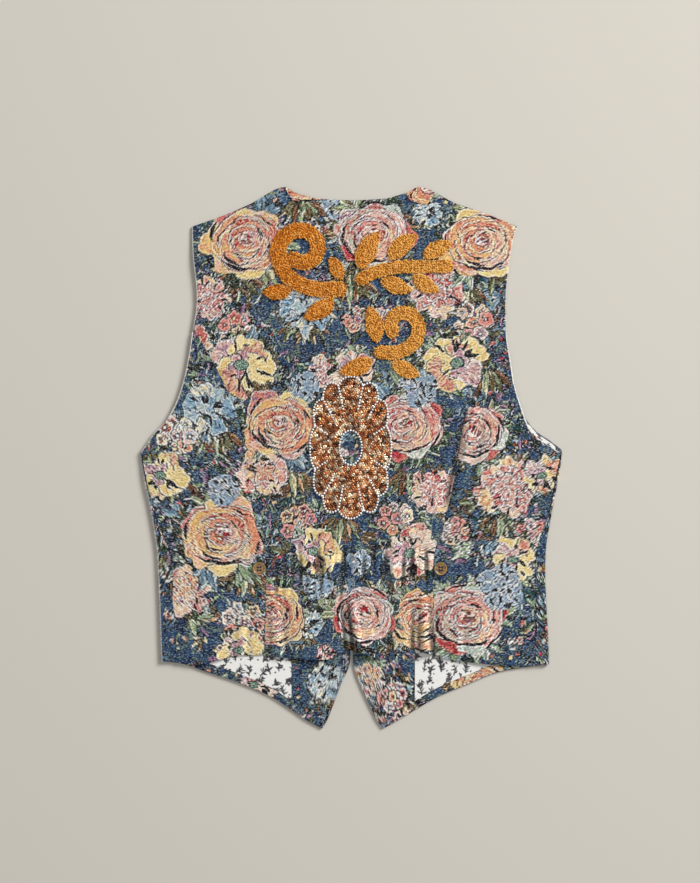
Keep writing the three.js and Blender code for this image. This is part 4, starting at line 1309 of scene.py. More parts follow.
def front_place(side):
    sign = SIDES[side]
    foot_y, pit_top = FOOT_Y[side], PIT_TOP[side]
    tip_x = abs(TIP_EDGE[side][0][1])

    def at(line, where):
        return np.abs(line(np.asarray(where, float)))

    def outer(y):
        past = lerp(SIDE_FOLD[side](y), FRONT_ARMHOLE[side](y), smoothstep(y, PIT_Y, pit_top))
        return np.abs(np.where(y < PIT_Y, SIDE_FOLD[side](y), past))

    def parts_of(across, up):
        """How far over the flat part, the roll and the strip, and the side's y, x and strip."""
        column = across * FRONT_CELLS
        flat = np.clip(column / FLAT_CELLS, 0, 1)
        roll = np.clip((column - FLAT_CELLS) / ROLL_CELLS, 0, 1)
        along = np.clip((column - FLAT_CELLS - ROLL_CELLS) / STRIP_CELLS, 0, 1)
        side_y = lerp(foot_y, SHOULDER_Y, up)
        out = outer(side_y)
        shown = np.maximum(0, out - at(SIDE_SEAM[side], np.minimum(side_y, PIT_Y)))
        return flat, roll, along, side_y, out, shown

    def place(across, up, layer):
        flat, roll, along, side_y, out, shown = parts_of(across, up)
        lift = CLOTH * layer
        rolled = 1 - smoothstep(side_y, ROLL_END_Y, pit_top)
        flat_end = out - lerp(1, ROLL, rolled)
        foot_x = lerp(tip_x, at(SIDE_FOLD[side], [foot_y])[0] - ROLL, flat)
        head_x = lerp(NECK_HALF, at(FRONT_ARMHOLE[side], [SHOULDER_Y])[0], flat)
        flat_y = lerp(FRONT_HEM[side](sign * foot_x), TOP_EDGE(sign * head_x), up)
        flat_x = lerp(at(FRONT_EDGE[side], lerp(TIP_Y, TOP_Y, up)), flat_end, flat)
        turn = np.where(shown < ROLL, np.arccos(np.clip(1 - shown / ROLL, -1, 1)), np.pi / 2)
        angle = lerp(-np.pi / 2, turn, roll)
        radius = ROLL - lift
        strip = np.maximum(shown - ROLL - GAP / 2, 0.3)
        wrapped_x = out - ROLL + radius * np.cos(angle) - along * strip * np.sin(turn)
        wrapped_z = ROLL + radius * np.sin(angle) + along * strip * np.cos(turn)
        past_x = lerp(flat_end + 0.6 * roll + 0.4 * along, wrapped_x, rolled)
        past_z = lerp(lift, wrapped_z, rolled)
        beyond = across * FRONT_CELLS > FLAT_CELLS
        x = sign * np.where(beyond, past_x, flat_x)
        y = np.where(beyond, side_y, flat_y)
        return x, y, np.where(beyond, past_z, lift)

    def cloth_x(across, up):
        """Distance across the cloth itself, round the roll too."""
        _, roll, along, _, _, shown = parts_of(across, up)
        flat_x = place(np.minimum(across, FLAT_CELLS / FRONT_CELLS), up, 0 * up)[0]
        return flat_x + sign * (roll * np.pi * ROLL + along * shown)
    return place, cloth_x


def front(side):
    cloth = slab(f"front_{side}_cloth", FRONT_CELLS, FRONT_ROWS)
    place, cloth_x = front_place(side)
    across, up, layer, _, y = lay(cloth, place)
    rolled = across * FRONT_CELLS - FLAT_CELLS
    first, last = ROLL_CELLS / 3, ROLL_CELLS * 0.97
    worn = (rolled > first) & (rolled < last) & (y < PIT_Y) & (side == "left")
    return colour_cloth(cloth, across, up, cloth_x(across, up), y, layer < 0.5, side,
                        21 + SIDES[side], pale=worn * 0.8)


front_cloths = {side: front(side) for side in SIDES}
print("fronts:", [len(cloth.data.vertices) for cloth in front_cloths.values()], "points")

# %% [markdown]
# ## Facings, linings and neck rolls
#
# Below the back hem the inside of the longer fronts shows: a wide jacquard facing to the
# front edge, a narrow one along the hem, and a printed lining between them. Each is a strip
# between a lower and an upper line. The neck and one armhole show a narrow strip too.

# %% Strips between two lines
def lay_strip(name, xs, lower, upper, height, rows, upper_cuts=0):
    """A slab laid between a lower and an upper line, both y at x, over the columns xs."""
    piece = slab(name, len(xs) - 1, rows, upper_cuts)
    steps = np.linspace(0, 1, len(xs))

    def place(across, up, layer):
        x = np.interp(across, steps, xs)
        y = lerp(lower(x), upper(x), up)
        return x, y, height(x, y) + LINING * layer
    return piece, *lay(piece, place)


def on_front(x, _):
    return np.full_like(x, CLOTH + GAP)


def on_back(x, y):
    return back_height(x, y) + CLOTH + GAP


def front_lower(side):
    """The lower outline of a front, from the side to the tip and up its edge."""
    edge = curve([(x, y) for y, x in TIP_EDGE[side]])
    tip_x = abs(TIP_EDGE[side][0][1])
    return lambda x: np.where(np.abs(x) > tip_x, FRONT_HEM[side](x), edge(x)) + 0.5


# The facing steps up over this width where it meets the lining, and ends this far from the middle.
CORNER_WIDTH, FACING_INNER_X = 0.2, 2.4


def front_facing(side):
    sign, corner = SIDES[side], FACING_EDGE_X[side]
    lower, tip_x = front_lower(side), TIP_EDGE[side][0][1]
    xs = np.concatenate([np.linspace(FACING_END_X * sign, corner + sign * CORNER_WIDTH, 60),
                         np.linspace(corner, tip_x, 24),
                         np.linspace(tip_x, sign * FACING_INNER_X, 24)[1:]])

    def upper(x):
        return np.where(np.abs(x) > abs(corner), lower(x) + HEM_FACING, FACING_TOP_Y)
    cloth, across, up, layer, x, y = lay_strip(
        f"front_facing_{side}_cloth", xs, lower, upper, on_front, 40)
    return colour_cloth(cloth, across, up, x, y, layer > 0.5, "tip", 31 + sign)


facing_cloths = {side: front_facing(side) for side in SIDES}
print("facings:", [len(cloth.data.vertices) for cloth in facing_cloths.values()], "points")

# %% Lining material
def lining_material():
    lining = Finish("printed_lining")
    x, y, _ = lining.split(lining.place(upward=0))
    slub = lining.noise(lining.join(x / 6, y / 0.7), detail=2)
    paint, accent = lining.attribute("paint"), lining.attribute("accent")
    colour = lining.mix(paint, accent, slub.ramp(0.45, 0.7) * 0.6)
    weave_x, weave_y = (lining.ribs(way, lining.join(x, y), 0.5, 0.8) for way in "XY")
    crease = lining.noise(lining.join(x / 18, y / 12, 3.0), detail=3)
    return lining.surface(
        Base_Color=colour, Roughness=0.55, Sheen_Weight=0.2,
        Normal=lining.bump(weave_x * 0.1 + weave_y * 0.1 + crease * 1.2, 0.6, 0.0008))


LINING_CLOTH = lining_material()
print("lining nodes:", len(LINING_CLOTH.node_tree.nodes))


# %% Printed lining
LINING_WHITE, LINING_THREAD, LINING_EDGE = threads("f1f0ec dedcd6 24383a")
PRINT_PITCH, DARK_EDGE = 12.5, 0.35


def print_brush(picture, x, y, heading, length):
    """A brushed twig in ink: a bent stem of dabs with short leaves on both sides."""
    rng = picture.rng
    bend = rng.uniform(-9, 9)
    for k in range(5):
        leaf(picture, x, y, length / 3.2, 1.5, heading, (INK, INK), None, None)
        for side in (-1, 1):
            if k and rng.uniform(0, 1) < 0.7:
                leaf(picture, x, y, rng.uniform(3.6, 6.2), rng.uniform(1.2, 1.6),
                     heading + side * rng.uniform(40, 75), (INK, INK), None, None)
        x += length / 5 * math.cos(math.radians(heading))
        y += length / 5 * math.sin(math.radians(heading))
        heading += bend


def print_lining(piece, x, y, seed, edge=False):
    """White cloth with black brushed twigs and dots printed on it, and a dark edge where wanted."""
    picture = Picture(x, y, seed)
    picture.paint[:] = LINING_WHITE
    picture.accent[:] = LINING_THREAD
    picture.contrast[:] = 0.5
    rng = picture.rng
    for row_y in np.arange(y.min() - 6, y.max() + 6, PRINT_PITCH):
        for row_x in np.arange(x.min() - 6, x.max() + 6, PRINT_PITCH):
            cx, cy = row_x + rng.uniform(-4, 4), row_y + rng.uniform(-3, 3)
            print_brush(picture, cx, cy, rng.uniform(20, 110), rng.uniform(9, 13))
            spot = Spot(picture, cx + 6, cy + 2, 3)
            spot.lay(0.9 - spot.r, INK, contrast=0)
    picture.paint[edge] = LINING_EDGE
    keep_picture(piece, picture.paint, np.zeros(len(x)), picture.accent, picture.contrast)
    return finish_cloth(piece, LINING_CLOTH, "lining")


print("linings can be printed")


# %% Front linings
def front_lining(side):
    sign, corner = SIDES[side], FACING_EDGE_X[side]
    lower = front_lower(side)
    xs = np.linspace(FACING_END_X * sign, corner + sign * (GAP + CORNER_WIDTH), 84)
    cloth, _, _, _, x, y = lay_strip(
        f"front_lining_{side}_cloth", xs, lambda x: lower(x) + HEM_FACING + GAP,
        lambda x: np.full_like(x, FACING_TOP_Y), on_front, 44, upper_cuts=1)
    return print_lining(cloth, x, y, 41 + sign)


def armhole_lining():
    upper = curve([(205, 39.5), (215, 28.4), (230, 18), (239, 10.8)])
    lower = curve([(205, 27), (215, 15), (230, 6), (239, 1)])
    cloth, _, up, _, x, y = lay_strip(
        "armhole_lining_right_cloth", np.linspace(205, 239, 60), lower, upper, on_front, 18,
        upper_cuts=1)
    return print_lining(cloth, x, y, 43, up < DARK_EDGE)


lining_pieces = [*(front_lining(side) for side in SIDES), armhole_lining()]
print("linings:", [len(cloth.data.vertices) for cloth in lining_pieces], "points")


# %% Neck rolls
NECK_ROLL = {
    "left": [(-76.5, 311.5), (-66.5, 298), (-50, 299.2), (-31, 299.2)],
    "right": [(64, 304.6), (69, 298), (78, 295), (87, 294), (95, 304.4)],
}
# A roll is cut from cloth that lies elsewhere in the pattern: this far out and down, in mm.
ROLL_CUT_OUT, ROLL_CUT_DOWN = 62, 60


def neck_roll(side):
    lower = NECK_ROLL[side]
    xs = np.linspace(lower[0][0], lower[-1][0], 56)
    cloth, across, up, layer, x, y = lay_strip(
        f"neck_roll_{side}_cloth", xs, curve(lower), lambda x: TOP_EDGE(x) - 0.2, on_back, 12)
    return colour_cloth(cloth, across, up, x + ROLL_CUT_OUT * SIDES[side], y - ROLL_CUT_DOWN,
                        layer > 0.5, "centre", 61 + SIDES[side])


neck_rolls = {side: neck_roll(side) for side in SIDES}
print("neck rolls:", [len(cloth.data.vertices) for cloth in neck_rolls.values()], "points")

# %% [markdown]
# ## Many small things at once
#
# Loops of yarn, sequins and beads are each modelled once. An array modifier can't put
# them at odd places, and Geometry Nodes could, but joining copies by hand keeps each copy's
# own tone, with its painted highlight and painted shade, as a value on its points, so one
# mesh of a few thousand copies does it here.

# %% Copies joined into one mesh
def joined_copies(name, model, x, y, z, heading, tilt, size, tone_and_glint):
    """One mesh with a copy of the model at each place, tilted about X and turned about Z."""
    corners = points_of(model)
    faces = [list(face.vertices) for face in model.data.polygons]
    ct, st, ch, sh = np.cos(tilt), np.sin(tilt), np.cos(heading), np.sin(heading)
    px = np.outer(size, corners[0])
    py = np.outer(size * ct, corners[1]) - np.outer(size * st, corners[2])
    pz = np.outer(size * st, corners[1]) + np.outer(size * ct, corners[2])
    wx = x[:, None] * MM + px * ch[:, None] - py * sh[:, None]
    wy = y[:, None] * MM + px * sh[:, None] + py * ch[:, None]
    wz = z[:, None] * MM + pz
    count = corners.shape[1]
    all_faces = [[k * count + i for i in face] for k in range(len(x)) for face in faces]
    mesh = bpy.data.meshes.new(name)
    mesh.from_pydata(np.stack([wx, wy, wz], 2).reshape(-1, 3), [], all_faces)
    piece = bpy.data.objects.new(name, mesh)
    bpy.context.collection.objects.link(piece)
    # Each copy's value sets its own tone, and on sequins and chenille loops its painted highlight and
    # painted shade.
    remember(piece, "tone_and_glint", np.repeat(np.column_stack([tone_and_glint, tone_and_glint, tone_and_glint, tone_and_glint]), count, axis=0))
    mesh.shade_smooth()
    return piece


def edit(piece, choose):
    """Enters edit mode with only the points that choose(x, y, z) picks selected, in mm."""
    select_only(piece)
    x, y, z = points_of(piece) / MM
    bpy.ops.object.mode_set(mode="EDIT")
    bpy.ops.mesh.select_all(action="DESELECT")
    bpy.ops.mesh.select_mode(type="VERT")
    bpy.ops.object.mode_set(mode="OBJECT")
    piece.data.vertices.foreach_set("select", choose(x, y, z))
    bpy.ops.object.mode_set(mode="EDIT")
    bpy.ops.mesh.select_mode(type="VERT")


print("copies can be joined")

# %% [markdown]
# ## Chenille embroidery
#
# Chenille work is a thick pile of small yarn loops, pulled through the cloth close together.
# A bump could suggest it, but the loops catch the light on top and hide dark gaps between
# them. So each stem and leaf is a domed pad in the yarn's shadow colour, and rings of yarn,
# open at the foot, stand on it in rows, each turned and tilted a little differently.

# %% Stems and leaves
# How far a leaf starts from its stem's edge, the step along a stroke, and the least half width.
LEAF_GAP, LINE_STEP, SELVAGE = 2.2, 0.5, 0.4
# name, x, y, heading, length, bend at start, bend at end (degrees a mm), width
STEMS = table("""
    scroll_upper -6 196 186 222 -0.1 -3.9 17
    wave_upper 6 203 40 116 -0.95 0.35 14
    scroll_lower 26 124 -14 134 0.5 4.8 15
""")
# stem, how far along it, side, lean, length, width, bend
LEAVES = table("""
    scroll_upper 0.07 1 46 42 20 -0.9
    scroll_upper 0.27 1 44 34 17 -0.6
    scroll_upper 0.02 -1 72 30 15 0.3
    wave_upper 0.1 1 54 50 22 -0.9
    wave_upper 0.38 1 54 44 20 -1.1
    wave_upper 0.7 1 46 38 18 -1.1
    wave_upper 0.26 -1 54 38 18 1.0
    wave_upper 0.6 -1 50 36 17 1.0
    scroll_lower 0.0 1 100 44 20 0.9
    scroll_lower 0.0 -1 128 42 19 -0.9
    scroll_lower 0.16 -1 46 36 17 0.9
""")


class Stroke:
    """A bent stroke of embroidery: its middle line at places t from 0 to 1, and its half width."""

    def __init__(self, name, x, y, heading, length, bend_start, bend_end, width, pointed):
        self.name, self.length, self.width, self.pointed = name, length, width, pointed
        steps = round(length / LINE_STEP)
        step = length / steps
        self.t = np.linspace(0, 1, steps + 1)
        turns = np.radians(lerp(bend_start, bend_end, self.t[:-1])) * step
        self.heading = math.radians(heading) + np.concatenate([[0], np.cumsum(turns)])
        self.x = x + np.concatenate([[0], np.cumsum(np.cos(self.heading[1:]) * step)])
        self.y = y + np.concatenate([[0], np.cumsum(np.sin(self.heading[1:]) * step)])

    def half(self, t):
        if self.pointed:
            return 0.5 * self.width * np.sin(np.pi * np.clip(t, 0, 1) ** 0.85) ** 0.8 + SELVAGE
        near = np.clip(np.minimum(t, 1 - t) * self.length * 2 / self.width, 0, 1)
        return 0.5 * self.width * np.sqrt(1 - (1 - near) ** 2) + SELVAGE

    def at(self, t, aside):
        """A point at t along the stroke and aside mm to its left."""
        heading = np.interp(t, self.t, self.heading)
        x = np.interp(t, self.t, self.x) - aside * np.sin(heading)
        y = np.interp(t, self.t, self.y) + aside * np.cos(heading)
        return x, y, heading


def chenille_strokes():
    stems = {row[0]: Stroke(*row, pointed=False) for row in STEMS}
    leaves = []
    for k, (stem_name, at, side, lean, length, width, bend) in enumerate(LEAVES):
        stem = stems[stem_name]
        x, y, heading = stem.at(at, side * (stem.width / 2 + LEAF_GAP))
        leaves.append(Stroke(f"leaf_{k + 1}", x, y, math.degrees(heading) + side * lean, length,
                             bend, bend / 2, width, pointed=True))
    return [*stems.values(), *leaves]


STROKES = chenille_strokes()
print("strokes:", len(STROKES), "in all", round(sum(s.length for s in STROKES)), "mm long")


# %% Yarn loops
LOOP_RADIUS, YARN_RADIUS = 1.3, 0.6
FOOT_SLOPE = 1.2


def thread_ring(radius, thick, around, across, cut_slope, x=0, y=0, z=0):
    """A standing ring of thread in mm, with a wedge cut out at its foot and its ends closed."""
    deselect()
    bpy.ops.mesh.primitive_torus_add(
        major_segments=around, minor_segments=across, major_radius=radius * MM,
        minor_radius=thick * MM, location=(x * MM, y * MM, z * MM), rotation=(math.pi / 2, 0, 0))
    ring = just_made()
    edit(ring, lambda px, py, pz: pz < z - cut_slope * np.abs(px - x))
    bpy.ops.mesh.delete(type="VERT")
    bpy.ops.mesh.select_all(action="SELECT")
    bpy.ops.mesh.fill_holes(sides=0)
    face_out(ring)
    return ring


def chenille_material():
    yarn = Finish("chenille_yarn")
    x, y, z = yarn.split(yarn.place())
    tone_and_glint = yarn.attribute("tone_and_glint", "Fac")
    gold = x.ramp(-95, 95)
    colour = yarn.mix(shade("ea9430"), shade("fcc05e"), gold)
    # Painted highlight on loops with a high value, and painted shade on loops with a low one and on the
    # pad.
    colour = yarn.mix(colour, shade("fcc873"), tone_and_glint.ramp(0.6, 0.9) * 0.7)
    colour = yarn.mix(colour, shade("9a5010"), tone_and_glint.ramp(0.32, 0.08) * 0.7)
    strand = yarn.noise(yarn.join(x / 0.5, y / 0.5, z / 0.5), detail=2)
    colour = yarn.mix(colour, shade("7c3a05"), strand.ramp(0.48, 0.3) * 0.4)
    return yarn.surface(Base_Color=colour, Roughness=0.85, Specular_IOR_Level=0.2,
                        Normal=yarn.bump(strand, 0.7, 0.0004))


YARN = chenille_material()
loop_model = thread_ring(LOOP_RADIUS, YARN_RADIUS, 9, 5, FOOT_SLOPE)
print("one loop:", len(loop_model.data.polygons), "faces")


# %% Chenille pads and pile
PAD_RIM, PAD_DOME = 0.4, 0.75
LOOP_PITCH, ROW_SHARE, LOOP_MARGIN = 2.25, 0.87, 0.9


def pad_height(stroke, t, aside):
    dome = 1 - (np.abs(aside) / (stroke.half(t) + 0.01)) ** 4
    return PAD_RIM + PAD_DOME * np.clip(dome, 0, 1)


def chenille(stroke, seed):
    pad = slab(f"chenille_{stroke.name}_pad", max(12, round(stroke.length / 3)), 8)

    def place(along, up, layer):
        aside = (2 * up - 1) * np.maximum(stroke.half(along) - SELVAGE, 0.3)
        x, y, _ = stroke.at(along, aside)
        return x, y, on_back(x, y) + layer * pad_height(stroke, along, aside)
    along, *_ = lay(pad, place)
    # Painted shade: the pad takes a low value, so it is dark, as the shade between the loops is.
    remember(pad, "tone_and_glint", np.full((len(along), 4), 0.12))
    smooth(pad)

    rng = np.random.default_rng(seed)
    rows = []
    for s in np.arange(LOOP_PITCH * 0.3, stroke.length, LOOP_PITCH * ROW_SHARE):
        reach = stroke.half(s / stroke.length) - LOOP_MARGIN
        if reach > 0:
            count = max(1, round(2 * reach / LOOP_PITCH))
            aside = np.linspace(-reach, reach, count) if count > 1 else np.zeros(1)
            rows.append(np.column_stack([np.full(count, s), aside]))
    s, aside = np.concatenate(rows).T
    s, aside = s + rng.uniform(-0.6, 0.6, len(s)), aside + rng.uniform(-0.5, 0.5, len(s))
    t = np.clip(s / stroke.length, 0, 1)
    x, y, heading = stroke.at(t, aside)
    z = on_back(x, y) + pad_height(stroke, t, aside) + rng.uniform(-0.4, 0.4, len(s))
    loops = joined_copies(f"chenille_{stroke.name}_pile", loop_model, x, y, z,
                          rng.uniform(0, 2 * np.pi, len(s)), rng.uniform(-0.9, 0.9, len(s)),
                          rng.uniform(0.8, 1.15, len(s)), rng.uniform(0, 1, len(s)))
    dress(loops, YARN, "chenille")
    dress(pad, YARN, "chenille", f"chenille_{stroke.name}")
    return pad, loops


chenille_pieces = [chenille(stroke, 70 + k) for k, stroke in enumerate(STROKES)]
bpy.data.objects.remove(loop_model)
print("loops:", sum(len(pile.data.vertices) for _, pile in chenille_pieces), "points")

# %% [markdown]
# ## The sequin medallion
#
# Sequins are small cupped discs, each sewn flat through its middle so that it leans on its
# neighbours and glints its own way, and each one's glint and dark are also painted into its
# colour as painted highlight and painted shade. They lie on a backing cloth cut to the
# medallion's outline, a tall oval with scallops, and pearl beads edge it and its window.

# %% Medallion backing
MEDALLION = dict(x=-1, y=12, half_width=47, half_height=82, fullness=0.8, scallops=12, notch=0.1)
WINDOW_HALF = (13, 20)
BACKING_THICK = 0.35


def medallion_edge(angle):
    """The outline of the medallion round its middle, in mm."""
    def full(value):
        return np.sign(value) * np.abs(value) ** MEDALLION["fullness"]
    scallop = 1 - MEDALLION["notch"] * (1 - np.abs(np.cos(MEDALLION["scallops"] / 2 * angle)))
    return (MEDALLION["half_width"] * scallop * full(np.cos(angle)),
            MEDALLION["half_height"] * scallop * full(np.sin(angle)))


def medallion_point(angle, out):
    """A point from the window's edge (out 0) to the outline (out 1)."""
    edge_x, edge_y = medallion_edge(angle)
    x = MEDALLION["x"] + lerp(WINDOW_HALF[0] * np.cos(angle), edge_x, out)
    y = MEDALLION["y"] + lerp(WINDOW_HALF[1] * np.sin(angle), edge_y, out)
    return x, y


def sequin_material():
    foil = Finish("copper_sequins")
    tone_and_glint = foil.attribute("tone_and_glint", "Fac")
    place = foil.place()
    # Painted highlight and shade: by its value each sequin is painted dark, copper, lit or glinting
    # cream.
    colour = foil.mix(shade("260e04"), shade("ba6834"), tone_and_glint.ramp(0.05, 0.45))
    colour = foil.mix(colour, shade("f2b47c"), tone_and_glint.ramp(0.55, 0.75))
    colour = foil.mix(colour, shade("fff0d0"), tone_and_glint.ramp(0.76, 0.88))
    glint_ripple = foil.noise(foil.scaled(place, (0.4, 0.4, 0.4)), detail=2)
    # Painted shade: small dark spots over the sequins.
    colour = foil.mix(colour, shade("4a220c"), glint_ripple.ramp(0.45, 0.25) * 0.6)
    # Painted shade: broad darker patches over the medallion.
    dark_glint_patch = foil.noise(foil.scaled(place, (0.07, 0.06, 0.07)), detail=2)
    colour = foil.mix(colour, shade("3a170a"), dark_glint_patch.ramp(0.52, 0.40) * 0.55)
    return foil.surface(Base_Color=colour, Metallic=0.75, Roughness=0.28 + tone_and_glint * 0.1, Coat_Weight=0.3,
                        Normal=foil.bump(glint_ripple, 0.2, 0.0005))


SEQUIN_FOIL = sequin_material()


def medallion_backing():
    cloth = slab("sequin_medallion_backing", 144, 8)

    def place(across, up, layer):
        x, y = medallion_point(2 * np.pi * across, up)
        return x, y, on_back(x, y) + BACKING_THICK * layer
    across, *_ = lay(cloth, place)
    edit(cloth, lambda x, y, z: (across < 1e-6) | (across > 1 - 1e-6))
    bpy.ops.mesh.delete(type="ONLY_FACE")
    bpy.ops.mesh.select_all(action="SELECT")
    bpy.ops.mesh.remove_doubles(threshold=1e-6)
    bpy.ops.mesh.normals_make_consistent(inside=False)
    bpy.ops.object.mode_set(mode="OBJECT")
    remember(cloth, "tone_and_glint", np.full((len(cloth.data.vertices), 4), 0.05))
    return dress(cloth, SEQUIN_FOIL, "sequins", "sequin_medallion")


backing = medallion_backing()
print("backing:", len(backing.data.vertices), "points")


# %% Sequins
SEQUIN_RADIUS, SEQUIN_RIM, SEQUIN_CUP, SEQUIN_SLOPE, SEQUIN_THICK = 2.3, 1.0, 0.35, 0.9, 0.12
SEQUIN_PITCH, SEQUIN_MARGIN, SEQUIN_LIFT = 2.9, 2.0, 0.9
NET_HALF_WIDTH, NET_HALF_HEIGHT = 50, 85


def sequin():
    """A disc with a rim, a cupped middle and a small hole."""
    deselect()
    bpy.ops.mesh.primitive_circle_add(vertices=9, radius=SEQUIN_RADIUS * MM, fill_type="NGON")
    disc = bpy.context.object
    bpy.ops.object.mode_set(mode="EDIT")
    bpy.ops.mesh.select_all(action="SELECT")
    bpy.ops.mesh.inset(thickness=SEQUIN_RIM * MM)
    bpy.ops.transform.translate(value=(0, 0, -SEQUIN_CUP * MM))
    bpy.ops.mesh.inset(thickness=SEQUIN_SLOPE * MM)
    bpy.ops.mesh.delete(type="FACE")
    bpy.ops.mesh.select_all(action="SELECT")
    bpy.ops.mesh.solidify(thickness=SEQUIN_THICK * MM)
    bpy.ops.mesh.normals_make_consistent(inside=False)
    bpy.ops.object.mode_set(mode="OBJECT")
    return disc


def sequin_places(rng):
    """Places in slightly uneven rows all over the medallion."""
    xs, ys = np.meshgrid(np.arange(-NET_HALF_WIDTH, NET_HALF_WIDTH, SEQUIN_PITCH),
                         np.arange(-NET_HALF_HEIGHT, NET_HALF_HEIGHT, SEQUIN_PITCH * ROW_SHARE))
    xs[1::2] += SEQUIN_PITCH / 2
    x, y = (part.ravel() + rng.uniform(-0.5, 0.5, part.size) for part in (xs, ys))
    angle = np.linspace(-np.pi, np.pi, 1441)
    edge_x, edge_y = medallion_edge(angle)
    around = np.arctan2(edge_y, edge_x)
    order = np.argsort(around)
    reach = np.interp(np.arctan2(y, x), around[order], np.hypot(edge_x, edge_y)[order])
    window = np.hypot(x / (WINDOW_HALF[0] + SEQUIN_MARGIN), y / (WINDOW_HALF[1] + SEQUIN_MARGIN))
    inside = (np.hypot(x, y) < reach - SEQUIN_MARGIN) & (window > 1)
    return x[inside] + MEDALLION["x"], y[inside] + MEDALLION["y"]


rng = np.random.default_rng(5)
sequin_x, sequin_y = sequin_places(rng)
count = len(sequin_x)
disc_model = sequin()
sequin_z = on_back(sequin_x, sequin_y) + SEQUIN_LIFT + rng.uniform(0, 0.35, count)
sequins = joined_copies(
    "sequins", disc_model, sequin_x, sequin_y, sequin_z, rng.uniform(0, 2 * np.pi, count),
    rng.uniform(0.1, 0.36, count), rng.uniform(0.92, 1.08, count), rng.uniform(0, 1, count))
bpy.data.objects.remove(disc_model)
dress(sequins, SEQUIN_FOIL, "sequins")
print("sequins:", count)


# %% Pearl beads
BEAD_RADIUS, BEAD_PITCH = 1.3, 3.3


def bead_line(xs, ys, pitch):
    """Places a pitch apart along a line."""
    run = np.concatenate([[0], np.cumsum(np.hypot(np.diff(xs), np.diff(ys)))])
    at = np.linspace(0, run[-1], max(2, round(run[-1] / pitch)) + 1)[:-1]
    return np.interp(at, run, xs), np.interp(at, run, ys)


def pearl_material():
    pearl = Finish("pearl_beads")
    tone_and_glint = pearl.attribute("tone_and_glint", "Fac")
    colour = pearl.mix(shade("ffffff"), shade("e9e4de"), tone_and_glint.ramp(0.5, 1.0))
    return pearl.surface(Base_Color=colour, Roughness=0.25 + tone_and_glint * 0.1, Coat_Weight=0.5,
                         Specular_IOR_Level=0.6)


def bead():
    """A ball whose poles are cut flat, where its hole is."""
    deselect()
    bpy.ops.mesh.primitive_uv_sphere_add(segments=10, ring_count=6, radius=BEAD_RADIUS * MM)
    ball = bpy.context.object
    edit(ball, lambda x, y, z: abs(z) > BEAD_RADIUS - 0.01)
    bpy.ops.mesh.bevel(offset=0.3 * MM, segments=1, affect="VERTICES")
    bpy.ops.object.mode_set(mode="OBJECT")
    return ball


turn = np.linspace(0, 2 * np.pi, 1441)
lines = [bead_line(*medallion_point(turn, out), BEAD_PITCH) for out in (1.0, 0.0)]
for k in range(MEDALLION["scallops"]):
    notch = np.pi * (2 * k + 1) / MEDALLION["scallops"]
    lines.append(bead_line(*medallion_point(np.full(40, notch), np.linspace(1, 0.42, 40)), BEAD_PITCH))
bead_x, bead_y = (np.concatenate(part) for part in zip(*lines))
count = len(bead_x)
bead_model = bead()
beads = joined_copies(
    "pearl_beads", bead_model, bead_x, bead_y, on_back(bead_x, bead_y) + BEAD_RADIUS,
    rng.uniform(0, 6, count), rng.uniform(-0.3, 0.3, count), rng.uniform(0.9, 1.05, count),
    rng.uniform(0, 1, count))
bpy.data.objects.remove(bead_model)
dress(beads, pearl_material(), "sequins")
print("beads:", count)

# %% [markdown]
# ## Buttons
#
# The two waist buttons are turned from horn-like plate: a raised rim, a sunk middle and four
# holes, sewn on with pale thread. A cylinder is inset and pressed down for the middle,
# its edges are bevelled, and the holes are cut with a Boolean modifier.

# %% Button material
BUTTONS = {"left": (-106.7, WAIST_Y), "right": (103.2, WAIST_Y)}
BUTTON_RADIUS, BUTTON_THICK = 7.65, 3.2
RIM, RIM_SLOPE, RIM_DROP, ROUNDING = 1.5, 0.6, 0.9, 0.55
BOSS_SLOPE, BOSS_RISE = 1.2, 0.15
HOLE_RADIUS, HOLE_RING, HOLE_FLOOR = 1.3, 2.5, 0.5
HOLE_ASIDE = HOLE_RING * math.cos(math.radians(45))
# Where the painted highlight on the rim and the painted shade at its outer edge lie, from the middle of
# the button in mm.
PAINTED_RIM_HIGHLIGHT, PAINTED_EDGE_SHADE = (5.9, 6.5), (6.9, 7.4)
THREAD_RADIUS, THREAD_APART, THREAD_SUNK, THREAD_FOOT_SLOPE = 0.16, 0.2, 0.5, 0.8


def from_button(x, y):
    """How far across, up and away a point is from the middle of the nearer button."""
    (left_x, waist_y), (right_x, _) = BUTTONS.values()
    across = (x - (left_x + right_x) / 2).sum("ABSOLUTE") - (right_x - left_x) / 2
    up = y - waist_y
    return across, up, (across * across + up * up).sum("SQRT")


def horn_material():
    horn = Finish("dark_horn")
    x, y, z = horn.split(horn.place())
    swirl = horn.noise(horn.join(x / 5, y / 2.2, z / 4), detail=3)
    across, up, away = from_button(x, y)
    off_x, off_y = across.sum("ABSOLUTE") - HOLE_ASIDE, up.sum("ABSOLUTE") - HOLE_ASIDE
    from_hole = (off_x * off_x + off_y * off_y).sum("SQRT")
    colour = horn.mix(shade("5a3c18"), shade("a87a3a"), swirl.ramp(0.38, 0.62))
    # Painted highlight on the rim, and painted shade round its outer edge.
    colour = horn.mix(colour, shade("cda868"), away.ramp(*PAINTED_RIM_HIGHLIGHT) * 0.45)
    colour = horn.mix(colour, shade("2b2012"), away.ramp(*PAINTED_EDGE_SHADE) * 0.85)
    # Painted shade in the four holes.
    colour = horn.mix(colour, shade("140c06"), from_hole.ramp(HOLE_RADIUS + 0.35, HOLE_RADIUS))
    scratch = horn.noise(horn.join(x / 0.4, y / 3, z), detail=2)
    return horn.surface(Base_Color=colour, Roughness=0.32 + scratch * 0.15, Coat_Weight=0.35,
                        Normal=horn.bump(scratch, 0.25, 0.0001))


